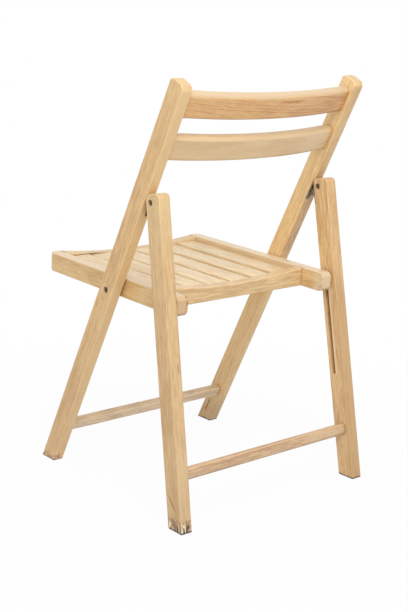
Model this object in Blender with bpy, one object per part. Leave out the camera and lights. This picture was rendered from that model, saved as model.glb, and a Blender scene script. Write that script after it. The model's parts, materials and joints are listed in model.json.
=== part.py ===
"""A folding slatted chair of pale hardwood, in metres, +Z up, with the sitter facing -Y.

Two long stiles are the front legs and the back posts. The rear legs hang from the stiles on steel
brackets. The seat turns on a bolt in each stile, and a pin at its rear end slides in a groove in
each rear leg, so that lifting the seat's front edge brings the rear legs in against the stiles.
"""

import math

import bmesh
import bpy
from mathutils import Matrix, Vector

# Stance, seen from the side
CHAIR_HEIGHT = 0.801
STILE_LEAN = math.radians(25.2)
LEG_LEAN = math.radians(10.8)
SEAT_SLOPE = math.radians(1.3)
FOLDED_ANGLE = math.radians(1.0)
STILE_SPAN = 0.4508
LEG_SPLAY = 0.014

# Stiles
STILE_WIDTH = 0.038
STILE_THICK = 0.0228
STILE_TOP_RADIUS = 0.0065
STILE_TOP_LEVEL = 0.009
TIMBER_EASE = 0.002

# Rear legs and the hinge that carries them
LEG_WIDTH = 0.0376
LEG_THICK = 0.0258
LEG_TOP_RADIUS = 0.010
LEG_TOP_REAR_RADIUS = 0.010
HINGE_HEIGHT = 0.581
HINGE_BEHIND_STILE = 0.0157
HINGE_BEHIND_LEG_FRONT = 0.0124

# Hinge brackets: an angle of steel plate, let into the stile and into a kerf in the leg
PLATE_THICK = 0.003
FLANGE_THICK = 0.0025
FLANGE_EDGE = 0.0004
FLANGE_ABOVE = 0.006
FLANGE_BELOW = 0.0405
NOSE_RADIUS = 0.009
RIVET_RADIUS = 0.0025
RIVET_HEAD_RADIUS = 0.005
RIVET_HEAD_THICK = 0.0025
RIVET_RECESS = 0.005
SCREW_LENGTH = 0.016
SCREW_RADIUS = 0.0014
SCREW_HEAD_RADIUS = 0.0025
SCREW_FROM_FLANGE_END = 0.008

# Back rails, bowed towards the rear
BACK_RAIL_HEIGHT = 0.050
BACK_RAIL_THICK = 0.022
BACK_RAIL_BOW = 0.017
BACK_RAIL_RADIUS = 0.008
TOP_RAIL_BELOW_TOP = 0.039
BACK_RAIL_PITCH = 0.085

# Stretchers
FRONT_STRETCHER_HEIGHT = 0.0234
REAR_STRETCHER_HEIGHT = 0.0231
STRETCHER_THICK = 0.016
STRETCHER_RADIUS = 0.004
STRETCHER_BEHIND_FRONT = 0.0216
FRONT_STRETCHER_UP_STILE = 0.1004
REAR_STRETCHER_UP_LEG = 0.0973

# Tenons of the back rails and stretchers
TENON_LENGTH = 0.013
TENON_SHOULDER = 0.005
TENON_RADIUS = 0.002

# Seat frame
SEAT_PIVOT_HEIGHT = 0.3975
SEAT_PIVOT_BELOW_TOP = 0.0238
RAIL_HEIGHT = 0.0381
SIDE_RAIL_THICK = 0.0245
CROSS_RAIL_THICK = 0.022
RAIL_TO_STILE = 0.004
RAIL_TO_LEG = 0.001
RAIL_RADIUS = 0.0025
SEAT_FRONT_REACH = 0.2272
REAR_RAIL_REACH = 0.1206
RAIL_PAST_PIN = 0.017
FRONT_CORNER_RADIUS = 0.010
FRONT_LOWER_RADIUS = 0.008
REAR_END_RADIUS = 0.010
SEAT_DISH = 0.0115

# Slats
SLAT_COUNT = 6
SLAT_GAP = 0.008
SLAT_THICK = 0.012
SLAT_RADIUS = 0.002
SLAT_DROP_AT_SIDES = 0.007
SLAT_DROP_IN_MIDDLE = 0.0122
TONGUE_LENGTH = 0.008
TONGUE_THICK = 0.006
TONGUE_SHOULDER = 0.004

# Seat hardware
BOLT_RADIUS = 0.003
BOLT_HEAD_RADIUS = 0.0055
BOLT_HEAD_THICK = 0.0035
BOLT_RECESS = 0.005
WASHER_RADIUS = 0.009
INSERT_RADIUS = 0.005
INSERT_LENGTH = 0.014
PIN_RADIUS = 0.003
PIN_IN_RAIL = 0.014
PIN_END_GAP = 0.0025
PIN_RUN = 0.00075
GROOVE_BEHIND_LEG_FRONT = 0.0128
GROOVE_DEPTH = 0.0105
DOWEL_RADIUS = 0.004
DOWEL_FROM_EDGE = 0.011

# Clearances
FIT = 0.0003
RUN = 0.00025
HEAD_RUN = 0.0006
STOP_GAP = 0.0004

DOWEL_NAMES = ("front_lower", "front_upper", "rear_lower", "rear_upper")

# Facets
ARC_STEP = math.radians(30)
ROUND_SIDES = 16
BAR_STATIONS = 10
GROOVE_STEPS = 12
END_STEPS = 4
OVERCUT = 0.02

# Finishes
BEECH = (0.68, 0.46, 0.24, 1.0)
PALE_BEECH = (0.76, 0.56, 0.32, 1.0)
WARM_BEECH = (0.62, 0.38, 0.18, 1.0)
DARK_STEEL = (0.09, 0.09, 0.085, 1.0)
ZINC = (0.42, 0.42, 0.40, 1.0)


def material(name, colour, roughness, metallic):
    finish = bpy.data.materials.new(name)
    finish.use_nodes = True
    shader = finish.node_tree.nodes["Principled BSDF"]
    shader.inputs["Base Color"].default_value = colour
    shader.inputs["Roughness"].default_value = roughness
    shader.inputs["Metallic"].default_value = metallic
    return finish


def empty(name, parent, location, tilt):
    """A reference frame: local Y and Z turned about X by tilt."""
    frame = bpy.data.objects.new(name, None)
    bpy.context.scene.collection.objects.link(frame)
    frame.parent = parent
    frame.location = location
    frame.rotation_euler.x = tilt
    return frame


def add(name, bm, parent, finish):
    bmesh.ops.recalc_face_normals(bm, faces=bm.faces)
    mesh = bpy.data.meshes.new(name)
    bm.to_mesh(mesh)
    bm.free()
    mesh.shade_smooth()
    mesh.set_sharp_from_angle(angle=math.radians(35))
    mesh.materials.append(finish)
    piece = bpy.data.objects.new(name, mesh)
    bpy.context.scene.collection.objects.link(piece)
    piece.parent = parent
    return piece


def cut(piece, bm, operation="DIFFERENCE"):
    """Cuts a hidden body, built in the same frame as the piece, from it, or joins it on."""
    cutter = add(f"{piece.name}_cutter", bm, piece.parent, piece.data.materials[0])
    cutter.hide_render = True
    cutter.display_type = "WIRE"
    boolean = piece.modifiers.new("cut", "BOOLEAN")
    boolean.operation = operation
    boolean.object = cutter


def ease_edges(piece, width):
    bevel = piece.modifiers.new("eased edges", "BEVEL")
    bevel.width = width
    bevel.segments = 2
    bevel.limit_method = "ANGLE"
    bevel.angle_limit = math.radians(40)


def loft(loops):
    """A closed body through loops of matching points, capped at both ends."""
    bm = bmesh.new()
    rings = [[bm.verts.new(point) for point in loop] for loop in loops]
    for ring, following in zip(rings, rings[1:]):
        for i in range(len(ring)):
            j = (i + 1) % len(ring)
            bm.faces.new((ring[i], ring[j], following[j], following[i]))
    bm.faces.new(rings[0])
    bm.faces.new(rings[-1])
    return bm


def rounded(corners):
    """An outline of (a, b, radius) corners, each radius drawn as an arc."""
    points = []
    for i, (a, b, radius) in enumerate(corners):
        corner = Vector((a, b))
        if radius <= 0:
            points.append(corner)
            continue
        before = (Vector(corners[i - 1][:2]) - corner).normalized()
        after = (Vector(corners[(i + 1) % len(corners)][:2]) - corner).normalized()
        half = before.angle(after) / 2
        centre = corner + (before + after).normalized() * (radius / math.sin(half))
        spoke = corner + before * (radius / math.tan(half)) - centre
        sweep = math.copysign(math.pi - 2 * half, before.cross(after) * -1)
        steps = max(1, math.ceil(abs(sweep) / ARC_STEP))
        for step in range(steps + 1):
            points.append(centre + Matrix.Rotation(sweep * step / steps, 2) @ spoke)
    return points


def rectangle(a_low, b_low, a_high, b_high, radius=0.0):
    corners = ((a_low, b_low), (a_high, b_low), (a_high, b_high), (a_low, b_high))
    return rounded([(a, b, radius) for a, b in corners])


def across(outline, x_near, x_far):
    """An outline in Y and Z, run along X."""
    return loft([[(x, *point) for point in outline] for x in (x_near, x_far)])


def circle(a, b, radius):
    turn = 2 * math.pi / ROUND_SIDES
    return [
        Vector((a + radius * math.cos(turn * i), b + radius * math.sin(turn * i)))
        for i in range(ROUND_SIDES)
    ]


def turned(profile, place):
    """A body of revolution through (distance along the axis, radius) stations, put in place."""
    loops = []
    for along, radius in profile:
        loops.append([place @ Vector((a, b, along)) for a, b in circle(0, 0, radius)])
    return loft(loops)


def along_x(y, z):
    """The place of a turned piece whose axis runs along X through this point."""
    return Matrix.Translation((0, y, z)) @ Matrix.Rotation(math.pi / 2, 4, "Y")


def bar(half_length, section, tenon):
    """A rail along X, with its section at each place and a straight tenon at both ends."""
    end = half_length + TENON_LENGTH
    loops = [[(-end, *p) for p in tenon], [(-half_length, *p) for p in tenon]]
    for station in range(BAR_STATIONS + 1):
        x = half_length * (2 * station / BAR_STATIONS - 1)
        loops.append([(x, *point) for point in section(x)])
    loops += [[(half_length, *p) for p in tenon], [(end, *p) for p in tenon]]
    return loft(loops)


def dip(x, half_length):
    """One in the middle of a bar, falling to zero at its ends along a parabola."""
    return 1 - (x / half_length) ** 2


class Box:
    """A rectangle in a frame's Y and Z, given by its centre and size, that tenons and sockets share."""

    def __init__(self, y, z, thick, height):
        self.y, self.z, self.thick, self.height = y, z, thick, height

    def outline(self, margin=0.0, radius=0.0, shift=0.0):
        thick, height = self.thick / 2 + margin, self.height / 2 + margin
        y = self.y + shift
        return rectangle(y - thick, self.z - height, y + thick, self.z + height, radius)

    def tenon(self):
        return Box(
            self.y, self.z, self.thick - 2 * TENON_SHOULDER, self.height - 2 * TENON_SHOULDER
        )


# Places that follow from the stance
STILE_OUTER = STILE_SPAN / 2
STILE_INNER = STILE_OUTER - STILE_THICK
STILE_TOP = CHAIR_HEIGHT / math.cos(STILE_LEAN)
HINGE_N = STILE_WIDTH + HINGE_BEHIND_STILE
HINGE_U = (HINGE_HEIGHT + HINGE_N * math.sin(STILE_LEAN)) / math.cos(STILE_LEAN)
PIVOT_N = STILE_WIDTH / 2
PIVOT_U = (SEAT_PIVOT_HEIGHT + PIVOT_N * math.sin(STILE_LEAN)) / math.cos(STILE_LEAN)
OPEN_ANGLE = STILE_LEAN + LEG_LEAN
FOLD_ANGLE = OPEN_ANGLE - FOLDED_ANGLE
LEG_DROP = HINGE_HEIGHT / math.cos(LEG_LEAN)
LEG_OUTER = STILE_OUTER
LEG_INNER = LEG_OUTER - LEG_THICK
LEG_FRONT = -HINGE_BEHIND_LEG_FRONT
LEG_REAR = LEG_FRONT + LEG_WIDTH
GROOVE_R = LEG_FRONT + GROOVE_BEHIND_LEG_FRONT
FLANGE_WIDTH = PLATE_THICK + 2 * (SCREW_HEAD_RADIUS + FLANGE_EDGE)
PLATE_X = STILE_INNER + FIT + FLANGE_WIDTH - PLATE_THICK / 2
RAIL_OUTER = min(STILE_INNER - RAIL_TO_STILE, LEG_INNER - RAIL_TO_LEG)
RAIL_INNER = RAIL_OUTER - SIDE_RAIL_THICK
RAIL_TOP = SEAT_PIVOT_BELOW_TOP
RAIL_LOW = RAIL_TOP - RAIL_HEIGHT


def in_chair(n, u):
    """A point of the stile's frame, n behind its front face and u up it, in the chair's frame."""
    lean = Matrix.Rotation(-STILE_LEAN, 2)
    return lean @ Vector((n, u))


HINGE = in_chair(HINGE_N, HINGE_U)
PIVOT = in_chair(PIVOT_N, PIVOT_U)


def folded(vector, angle):
    """A vector in the chair's Y and Z, turned the way that the legs and the seat fold."""
    return Matrix.Rotation(-angle, 2) @ vector


def to_leg(point, fold):
    """A point of the chair, in the leg's own frame when the leg has folded this far."""
    return Matrix.Rotation(-LEG_LEAN, 2) @ folded(point - HINGE, -fold)


def pin_reach():
    """How far behind the pivot the seat's pin sits, so that it lies on the open leg's groove."""
    to_pivot = to_leg(PIVOT, 0).x
    along_rail = (to_leg(PIVOT + folded(Vector((1, 0)), SEAT_SLOPE), 0)).x - to_pivot
    return (GROOVE_R - to_pivot) / along_rail


PIN_REACH = pin_reach()


def pin_in_leg(fold, seat_turn):
    pin = PIVOT + folded(Vector((PIN_REACH, 0)), SEAT_SLOPE + seat_turn)
    return to_leg(pin, fold)


def seat_ratio():
    """Seat turn for each unit of leg fold that ends with the pin back on the groove's line."""
    low, high = math.pi / 4, math.pi
    for _ in range(60):
        middle = (low + high) / 2
        if pin_in_leg(FOLD_ANGLE, middle).x > GROOVE_R:
            low = middle
        else:
            high = middle
    return low / FOLD_ANGLE


SEAT_RATIO = seat_ratio()


def leg_top():
    """The leg's height above its hinge at which its rounded corner meets the stile."""
    forward = (HINGE_BEHIND_LEG_FRONT - LEG_TOP_RADIUS) * math.cos(OPEN_ANGLE)
    room = HINGE_BEHIND_STILE - STOP_GAP - LEG_TOP_RADIUS - forward
    return room / math.sin(OPEN_ANGLE) + LEG_TOP_RADIUS


def splayed(bm, side):
    """Leans a leg, or what is cut from it, outwards below its hinge."""
    for vertex in bm.verts:
        vertex.co.x -= side * LEG_SPLAY * vertex.co.z / LEG_DROP
    return bm


def stile_foot(n):
    return n * math.tan(STILE_LEAN)


def leg_foot(r):
    return -(HINGE_HEIGHT + r * math.sin(LEG_LEAN)) / math.cos(LEG_LEAN)


def plate_outline():
    """The hinge plate in the stile's frame: a tapered tongue with a round nose at the pin."""
    root = STILE_WIDTH - FLANGE_THICK / 2
    nose = circle_arc(HINGE_N, HINGE_U, NOSE_RADIUS, math.pi / 2, -math.pi / 4)
    upper = Vector((root, HINGE_U + min(FLANGE_ABOVE, NOSE_RADIUS)))
    lower = Vector((root, HINGE_U - FLANGE_BELOW))
    return [lower, upper, *nose]


def circle_arc(a, b, radius, start, end):
    steps = max(1, math.ceil(abs(end - start) / ARC_STEP))
    angles = [start + (end - start) * i / steps for i in range(steps + 1)]
    return [Vector((a + radius * math.cos(t), b + radius * math.sin(t))) for t in angles]


def kerf_outline():
    """The saw kerf in the leg's frame: all that the hinge plate passes through as the leg folds."""
    radius = NOSE_RADIUS + FIT
    reach = math.hypot(HINGE_BEHIND_STILE, FLANGE_BELOW) + FIT
    far = LEG_FRONT - OVERCUT
    square = math.pi / 2 - OPEN_ANGLE
    nose = circle_arc(0, 0, radius, 0, square)
    up = (nose[-1].x - far) * math.tan(OPEN_ANGLE)
    return [Vector((far, -reach)), Vector((radius, -reach)), *nose, Vector((far, nose[-1].y + up))]


def groove_outline():
    """The groove in the leg's frame: the pin's path with a round end and room on both sides."""
    path = []
    for step in range(GROOVE_STEPS + 1):
        fold = FOLD_ANGLE * step / GROOVE_STEPS
        path.append(pin_in_leg(fold, SEAT_RATIO * fold))
    half = PIN_RADIUS + PIN_RUN
    sides = ([], [])
    for i, point in enumerate(path):
        before, after = path[max(i - 1, 0)], path[min(i + 1, GROOVE_STEPS)]
        ahead = (after - before).normalized()
        normal = Vector((-ahead.y, ahead.x))
        sides[0].append(point + normal * half)
        sides[1].append(point - normal * half)
    ends = []
    for place, toward in ((path[0], path[0] - path[1]), (path[-1], path[-1] - path[-2])):
        angle = math.atan2(toward.y, toward.x)
        ends.append(circle_arc(*place, half, angle - math.pi / 2, angle + math.pi / 2)[1:-1])
    return sides[0] + ends[1][::-1] + sides[1][::-1] + ends[0][::-1]


def make_stile(name, side, frame, finish):
    top = STILE_TOP + STILE_TOP_LEVEL * math.tan(STILE_LEAN)
    outline = rounded(
        [
            (0, 0, 0),
            (STILE_WIDTH, stile_foot(STILE_WIDTH), 0),
            (STILE_WIDTH, top, STILE_TOP_RADIUS),
            (STILE_TOP_LEVEL, top, 0),
            (0, STILE_TOP, 0),
        ]
    )
    stile = add(name, across(outline, side * STILE_INNER, side * STILE_OUTER), frame, finish)
    ease_edges(stile, TIMBER_EASE)
    socket_end = side * (STILE_INNER + TENON_LENGTH + FIT)
    mouth = side * (STILE_INNER - OVERCUT)
    for rail in (TOP_RAIL, LOWER_RAIL, FRONT_STRETCHER):
        cut(stile, across(rail.tenon().outline(FIT, TENON_RADIUS), mouth, socket_end))
    flange = rectangle(
        STILE_WIDTH - FLANGE_THICK - FIT,
        HINGE_U - FLANGE_BELOW - FIT,
        STILE_WIDTH + OVERCUT,
        HINGE_U + FLANGE_ABOVE + FIT,
    )
    cut(stile, across(flange, mouth, side * (flange_sides()[1] + FIT)))
    for u in screw_places():
        hole = [(-SCREW_LENGTH - FIT, SCREW_RADIUS + FIT), (OVERCUT, SCREW_RADIUS + FIT)]
        cut(stile, turned(hole, screw_axis(side, u)))
    bore = [(STILE_INNER - OVERCUT, BOLT_RADIUS + RUN), (STILE_OUTER + OVERCUT, BOLT_RADIUS + RUN)]
    recess_radius = BOLT_HEAD_RADIUS + HEAD_RUN
    recess = [(STILE_OUTER - BOLT_RECESS, recess_radius), (STILE_OUTER + OVERCUT, recess_radius)]
    for profile in (bore, recess):
        profile = [(side * along, radius) for along, radius in profile]
        cut(stile, turned(profile, along_x(PIVOT_N, PIVOT_U)))
    return stile


def flange_sides():
    """The flange runs from the plate towards the middle of the chair."""
    outer = PLATE_X + PLATE_THICK / 2
    return outer - FLANGE_WIDTH, outer


def screw_places():
    return (
        HINGE_U + FLANGE_ABOVE - SCREW_FROM_FLANGE_END,
        HINGE_U - FLANGE_BELOW + SCREW_FROM_FLANGE_END,
    )


def screw_axis(side, u):
    """A screw's place: its axis comes out of the stile's rear face, beside the bracket's plate."""
    inner, outer = flange_sides()
    x = side * (inner + outer - PLATE_THICK) / 2
    return Matrix.Translation((x, STILE_WIDTH, u)) @ Matrix.Rotation(-math.pi / 2, 4, "X")


def make_bracket(name, side, frame, finish):
    inner, outer = flange_sides()
    flange = rectangle(
        STILE_WIDTH - FLANGE_THICK, HINGE_U - FLANGE_BELOW, STILE_WIDTH, HINGE_U + FLANGE_ABOVE
    )
    bracket = add(name, across(flange, side * inner, side * outer), frame, finish)
    plate = across(plate_outline(), side * (outer - PLATE_THICK), side * outer)
    cut(bracket, plate, "UNION")
    eye = [(inner - OVERCUT, RIVET_RADIUS + RUN), (outer + OVERCUT, RIVET_RADIUS + RUN)]
    cut(bracket, turned([(side * x, r) for x, r in eye], along_x(HINGE_N, HINGE_U)))
    for u in screw_places():
        cut(bracket, turned(screw_profile(FIT, OVERCUT), screw_axis(side, u)))
    return bracket


def screw_profile(margin, past_head):
    """A countersunk screw along its axis, from its point to its head, flush at zero."""
    depth = SCREW_HEAD_RADIUS - SCREW_RADIUS
    profile = [
        (-SCREW_LENGTH, SCREW_RADIUS + margin),
        (-depth - margin, SCREW_RADIUS + margin),
        (-margin, SCREW_HEAD_RADIUS + margin),
    ]
    if past_head:
        profile.append((past_head, SCREW_HEAD_RADIUS + margin))
    return profile


def make_screw(name, side, u, frame, finish):
    profile = screw_profile(0, 0)
    profile[-1] = (-FIT, SCREW_HEAD_RADIUS)
    profile[1] = (-FIT - SCREW_HEAD_RADIUS + SCREW_RADIUS, SCREW_RADIUS)
    return add(name, turned(profile, screw_axis(side, u)), frame, finish)


def make_leg(name, side, frame, finish):
    top = leg_top()
    outline = rounded(
        [
            (LEG_FRONT, leg_foot(LEG_FRONT), 0),
            (LEG_REAR, leg_foot(LEG_REAR), 0),
            (LEG_REAR, top, LEG_TOP_REAR_RADIUS),
            (LEG_FRONT, top, LEG_TOP_RADIUS),
        ]
    )
    body = splayed(across(outline, side * LEG_INNER, side * LEG_OUTER), side)
    leg = add(name, body, frame, finish)
    ease_edges(leg, TIMBER_EASE)
    inner = PLATE_X - PLATE_THICK / 2 - FIT
    outer = PLATE_X + PLATE_THICK / 2 + FIT
    cut(leg, across(kerf_outline(), side * inner, side * outer))
    bore = [(LEG_INNER - OVERCUT, RIVET_RADIUS + FIT), (LEG_OUTER + OVERCUT, RIVET_RADIUS + FIT)]
    head = RIVET_HEAD_RADIUS + HEAD_RUN
    outer_recess = [(LEG_OUTER - RIVET_RECESS, head), (LEG_OUTER + OVERCUT, head)]
    inner_recess = [(LEG_INNER - OVERCUT, head), (LEG_INNER + RIVET_RECESS, head)]
    for profile in (bore, outer_recess, inner_recess):
        cut(leg, turned([(side * x, r) for x, r in profile], along_x(0, 0)))
    groove = across(
        groove_outline(), side * (LEG_INNER - OVERCUT), side * (LEG_INNER + GROOVE_DEPTH)
    )
    cut(leg, splayed(groove, side))
    mouth = side * (LEG_INNER - OVERCUT)
    socket_end = side * (rear_stretcher_half() + TENON_LENGTH + FIT)
    cut(leg, across(REAR_STRETCHER.tenon().outline(FIT, TENON_RADIUS), mouth, socket_end))
    return leg


def rear_stretcher_half():
    """Half the rear stretcher's length between shoulders, set by the legs' narrowest spread there."""
    highest = REAR_STRETCHER.z + REAR_STRETCHER.height / 2
    return LEG_INNER - LEG_SPLAY * highest / LEG_DROP - FIT


def make_rivet(name, side, frame, finish):
    low, high = LEG_INNER + RIVET_RECESS - FIT, LEG_OUTER - RIVET_RECESS + FIT
    profile = [
        (low - RIVET_HEAD_THICK, RIVET_HEAD_RADIUS),
        (low, RIVET_HEAD_RADIUS),
        (low, RIVET_RADIUS),
        (high, RIVET_RADIUS),
        (high, RIVET_HEAD_RADIUS),
        (high + RIVET_HEAD_THICK, RIVET_HEAD_RADIUS),
    ]
    return add(name, turned([(side * x, r) for x, r in profile], along_x(0, 0)), frame, finish)


def make_back_rail(name, box, frame, finish):
    half = STILE_INNER - FIT

    def section(x):
        return box.outline(0, BACK_RAIL_RADIUS, BACK_RAIL_BOW * dip(x, half))

    return add(name, bar(half, section, matching(box, BACK_RAIL_RADIUS)), frame, finish)


def make_stretcher(name, box, half, frame, finish):
    def section(_):
        return box.outline(0, STRETCHER_RADIUS)

    return add(name, bar(half, section, matching(box, STRETCHER_RADIUS)), frame, finish)


def matching(box, radius):
    """The tenon's outline, with as many points as the rail's own rounded section."""
    tenon = box.tenon().outline(0, TENON_RADIUS)
    assert len(tenon) == len(box.outline(0, radius))
    return tenon


TOP_RAIL = Box(
    STILE_WIDTH / 2, STILE_TOP - TOP_RAIL_BELOW_TOP, BACK_RAIL_THICK, BACK_RAIL_HEIGHT
)
LOWER_RAIL = Box(TOP_RAIL.y, TOP_RAIL.z - BACK_RAIL_PITCH, BACK_RAIL_THICK, BACK_RAIL_HEIGHT)
FRONT_STRETCHER = Box(
    STRETCHER_BEHIND_FRONT, FRONT_STRETCHER_UP_STILE, STRETCHER_THICK, FRONT_STRETCHER_HEIGHT
)
REAR_STRETCHER = Box(
    LEG_FRONT + STRETCHER_BEHIND_FRONT,
    leg_foot(LEG_FRONT) + REAR_STRETCHER_UP_LEG,
    STRETCHER_THICK,
    REAR_STRETCHER_HEIGHT,
)


def end_curve(distance, radius):
    """How far a rounded end stands back from its face at this distance from the end."""
    if distance >= radius:
        return 0.0
    return radius - math.sqrt(radius**2 - (radius - distance) ** 2)


def rail_stations(front, rear):
    """Places along a side rail, close together where its ends are rounded."""
    quarter = [1 - math.cos(math.pi / 2 * i / END_STEPS) for i in range(END_STEPS + 1)]
    corner = [FRONT_CORNER_RADIUS * share for share in quarter]
    below = [FRONT_LOWER_RADIUS * share for share in quarter[1:]]
    end = [REAR_END_RADIUS * share for share in reversed(quarter)]
    return [front + s for s in sorted({*corner, *below})] + [rear - s for s in end]


def make_side_rail(name, side, frame, finish):
    front, rear = -SEAT_FRONT_REACH, PIN_REACH + RAIL_PAST_PIN
    loops = []
    for b in rail_stations(front, rear):
        outer = RAIL_OUTER - end_curve(b - front, FRONT_CORNER_RADIUS)
        back = end_curve(rear - b, REAR_END_RADIUS)
        low = RAIL_LOW + max(end_curve(b - front, FRONT_LOWER_RADIUS), back)
        outline = rectangle(side * RAIL_INNER, low, side * outer, RAIL_TOP - back, RAIL_RADIUS)
        loops.append([(x, b, t) for x, t in outline])
    rail = add(name, loft(loops), frame, finish)
    nut_end = RAIL_OUTER - INSERT_LENGTH - 2 * FIT
    nut_hole = [(nut_end, INSERT_RADIUS + FIT), (RAIL_OUTER + OVERCUT, INSERT_RADIUS + FIT)]
    pin_hole = [(RAIL_OUTER - PIN_IN_RAIL - FIT, PIN_RADIUS + FIT)]
    pin_hole.append((RAIL_OUTER + OVERCUT, PIN_RADIUS + FIT))
    for profile, b in ((nut_hole, 0), (pin_hole, PIN_REACH)):
        cut(rail, turned([(side * x, r) for x, r in profile], along_x(b, 0)))
    for b, t in dowel_places():
        cut(rail, dowel(side, b, t, FIT))
    return rail


def cross_rail_span(which):
    """The front and rear faces of the seat's front or rear rail."""
    if which == "front":
        return -SEAT_FRONT_REACH, -SEAT_FRONT_REACH + CROSS_RAIL_THICK
    return REAR_RAIL_REACH - CROSS_RAIL_THICK, REAR_RAIL_REACH


def make_cross_rail(name, which, frame, finish):
    near, far = cross_rail_span(which)
    half = RAIL_INNER - FIT
    loops = []
    for station in range(BAR_STATIONS + 1):
        x = half * (2 * station / BAR_STATIONS - 1)
        top = RAIL_TOP - SEAT_DISH * dip(x, half)
        loops.append([(x, *point) for point in rectangle(near, RAIL_LOW, far, top, RAIL_RADIUS)])
    rail = add(name, loft(loops), frame, finish)
    for index in range(SLAT_COUNT):
        x, top = slat_place(index)
        half_width = SLAT_WIDTH / 2 - TONGUE_SHOULDER + FIT
        middle = top - SLAT_THICK / 2
        low, high = middle - TONGUE_THICK / 2 - FIT, middle + TONGUE_THICK / 2 + FIT
        if which == "front":
            pocket = rectangle(far - TONGUE_LENGTH - FIT, low, far + OVERCUT, high)
        else:
            pocket = rectangle(near - OVERCUT, low, near + TONGUE_LENGTH + FIT, high)
        cut(rail, across(pocket, x - half_width, x + half_width))
    for side in (-1, 1):
        for b, t in dowel_places():
            if near < b < far:
                cut(rail, dowel(side, b, t, FIT))
    return rail


def dowel_places():
    """Where the dowels join the front and rear rails to the side rails."""
    places = []
    for which in ("front", "rear"):
        b = sum(cross_rail_span(which)) / 2
        places += [(b, RAIL_LOW + DOWEL_FROM_EDGE), (b, RAIL_TOP - DOWEL_FROM_EDGE)]
    return places


def dowel(side, b, t, margin):
    """A dowel, or with a margin its bore: it reaches as far into either rail, short of the slats."""
    half = SLAT_GAP + TONGUE_SHOULDER - 4 * FIT + margin
    profile = [(side * (RAIL_INNER - half), DOWEL_RADIUS + margin)]
    profile.append((side * (RAIL_INNER + half), DOWEL_RADIUS + margin))
    return turned(profile, along_x(b, t))


SLAT_WIDTH = (2 * RAIL_INNER - (SLAT_COUNT + 1) * SLAT_GAP) / SLAT_COUNT


def slat_place(index):
    """A slat's middle, and the height of its top in the seat's shallow hollow."""
    x = (index - (SLAT_COUNT - 1) / 2) * (SLAT_WIDTH + SLAT_GAP)
    deeper = SLAT_DROP_IN_MIDDLE - SLAT_DROP_AT_SIDES
    return x, RAIL_TOP - SLAT_DROP_AT_SIDES - deeper * dip(x, RAIL_INNER)


def make_slat(name, index, frame, finish):
    x, top = slat_place(index)
    front = cross_rail_span("front")[1] + FIT
    rear = cross_rail_span("rear")[0] - FIT
    half = SLAT_WIDTH / 2
    body = rectangle(x - half, top - SLAT_THICK, x + half, top, SLAT_RADIUS)
    middle = top - SLAT_THICK / 2
    inset = half - TONGUE_SHOULDER
    tongue = rectangle(
        x - inset, middle - TONGUE_THICK / 2, x + inset, middle + TONGUE_THICK / 2, TENON_RADIUS
    )
    stations = (
        (tongue, front - TONGUE_LENGTH),
        (tongue, front),
        (body, front),
        (body, rear),
        (tongue, rear),
        (tongue, rear + TONGUE_LENGTH),
    )
    loops = [[(px, b, pt) for px, pt in outline] for outline, b in stations]
    return add(name, loft(loops), frame, finish)


def make_pivot_bolt(name, side, frame, finish):
    seat = STILE_OUTER - BOLT_RECESS + FIT
    profile = [
        (RAIL_OUTER - INSERT_LENGTH, BOLT_RADIUS),
        (seat, BOLT_RADIUS),
        (seat, BOLT_HEAD_RADIUS),
        (seat + BOLT_HEAD_THICK, BOLT_HEAD_RADIUS),
    ]
    return add(name, turned([(side * x, r) for x, r in profile], along_x(0, 0)), frame, finish)


def make_ring(name, side, ends, radius, frame, finish):
    """A washer or a sleeve round the pivot bolt."""
    body = turned([(side * x, radius) for x in ends], along_x(0, 0))
    piece = add(name, body, frame, finish)
    hole = BOLT_RADIUS + FIT
    bore = [(side * (ends[0] - OVERCUT), hole), (side * (ends[1] + OVERCUT), hole)]
    cut(piece, turned(bore, along_x(0, 0)))
    return piece


def make_guide_pin(name, side, frame, finish):
    groove_floor = LEG_INNER + GROOVE_DEPTH - LEG_SPLAY * pin_in_leg(0, 0).y / LEG_DROP
    profile = [(RAIL_OUTER - PIN_IN_RAIL, PIN_RADIUS), (groove_floor - PIN_END_GAP, PIN_RADIUS)]
    body = turned([(side * x, r) for x, r in profile], along_x(PIN_REACH, 0))
    return add(name, body, frame, finish)


def centre(chair):
    """Moves the chair so that the middle of its plan is at the origin."""
    bpy.context.view_layer.update()
    graph = bpy.context.evaluated_depsgraph_get()
    places = []
    for piece in bpy.context.scene.objects:
        if piece.type == "MESH" and not piece.hide_render:
            shown = piece.evaluated_get(graph)
            places += [(shown.matrix_world @ Vector(corner)).y for corner in shown.bound_box]
    chair.location.y = -(min(places) + max(places)) / 2
    bpy.context.view_layer.update()


for old in list(bpy.data.objects):
    bpy.data.objects.remove(old)

beech = material("beech", BEECH, 0.45, 0.0)
pale_beech = material("pale_beech", PALE_BEECH, 0.42, 0.0)
warm_beech = material("warm_beech", WARM_BEECH, 0.4, 0.0)
steel = material("dark_steel", DARK_STEEL, 0.45, 1.0)
zinc = material("zinc", ZINC, 0.35, 1.0)

chair = empty("chair", None, (0, 0, 0), 0)
back_frame = empty("back_frame", chair, (0, 0, 0), -STILE_LEAN)
rear_frame = empty("rear_frame", chair, (0, *HINGE), LEG_LEAN)
seat = empty("seat", chair, (0, *PIVOT), -SEAT_SLOPE)

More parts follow.
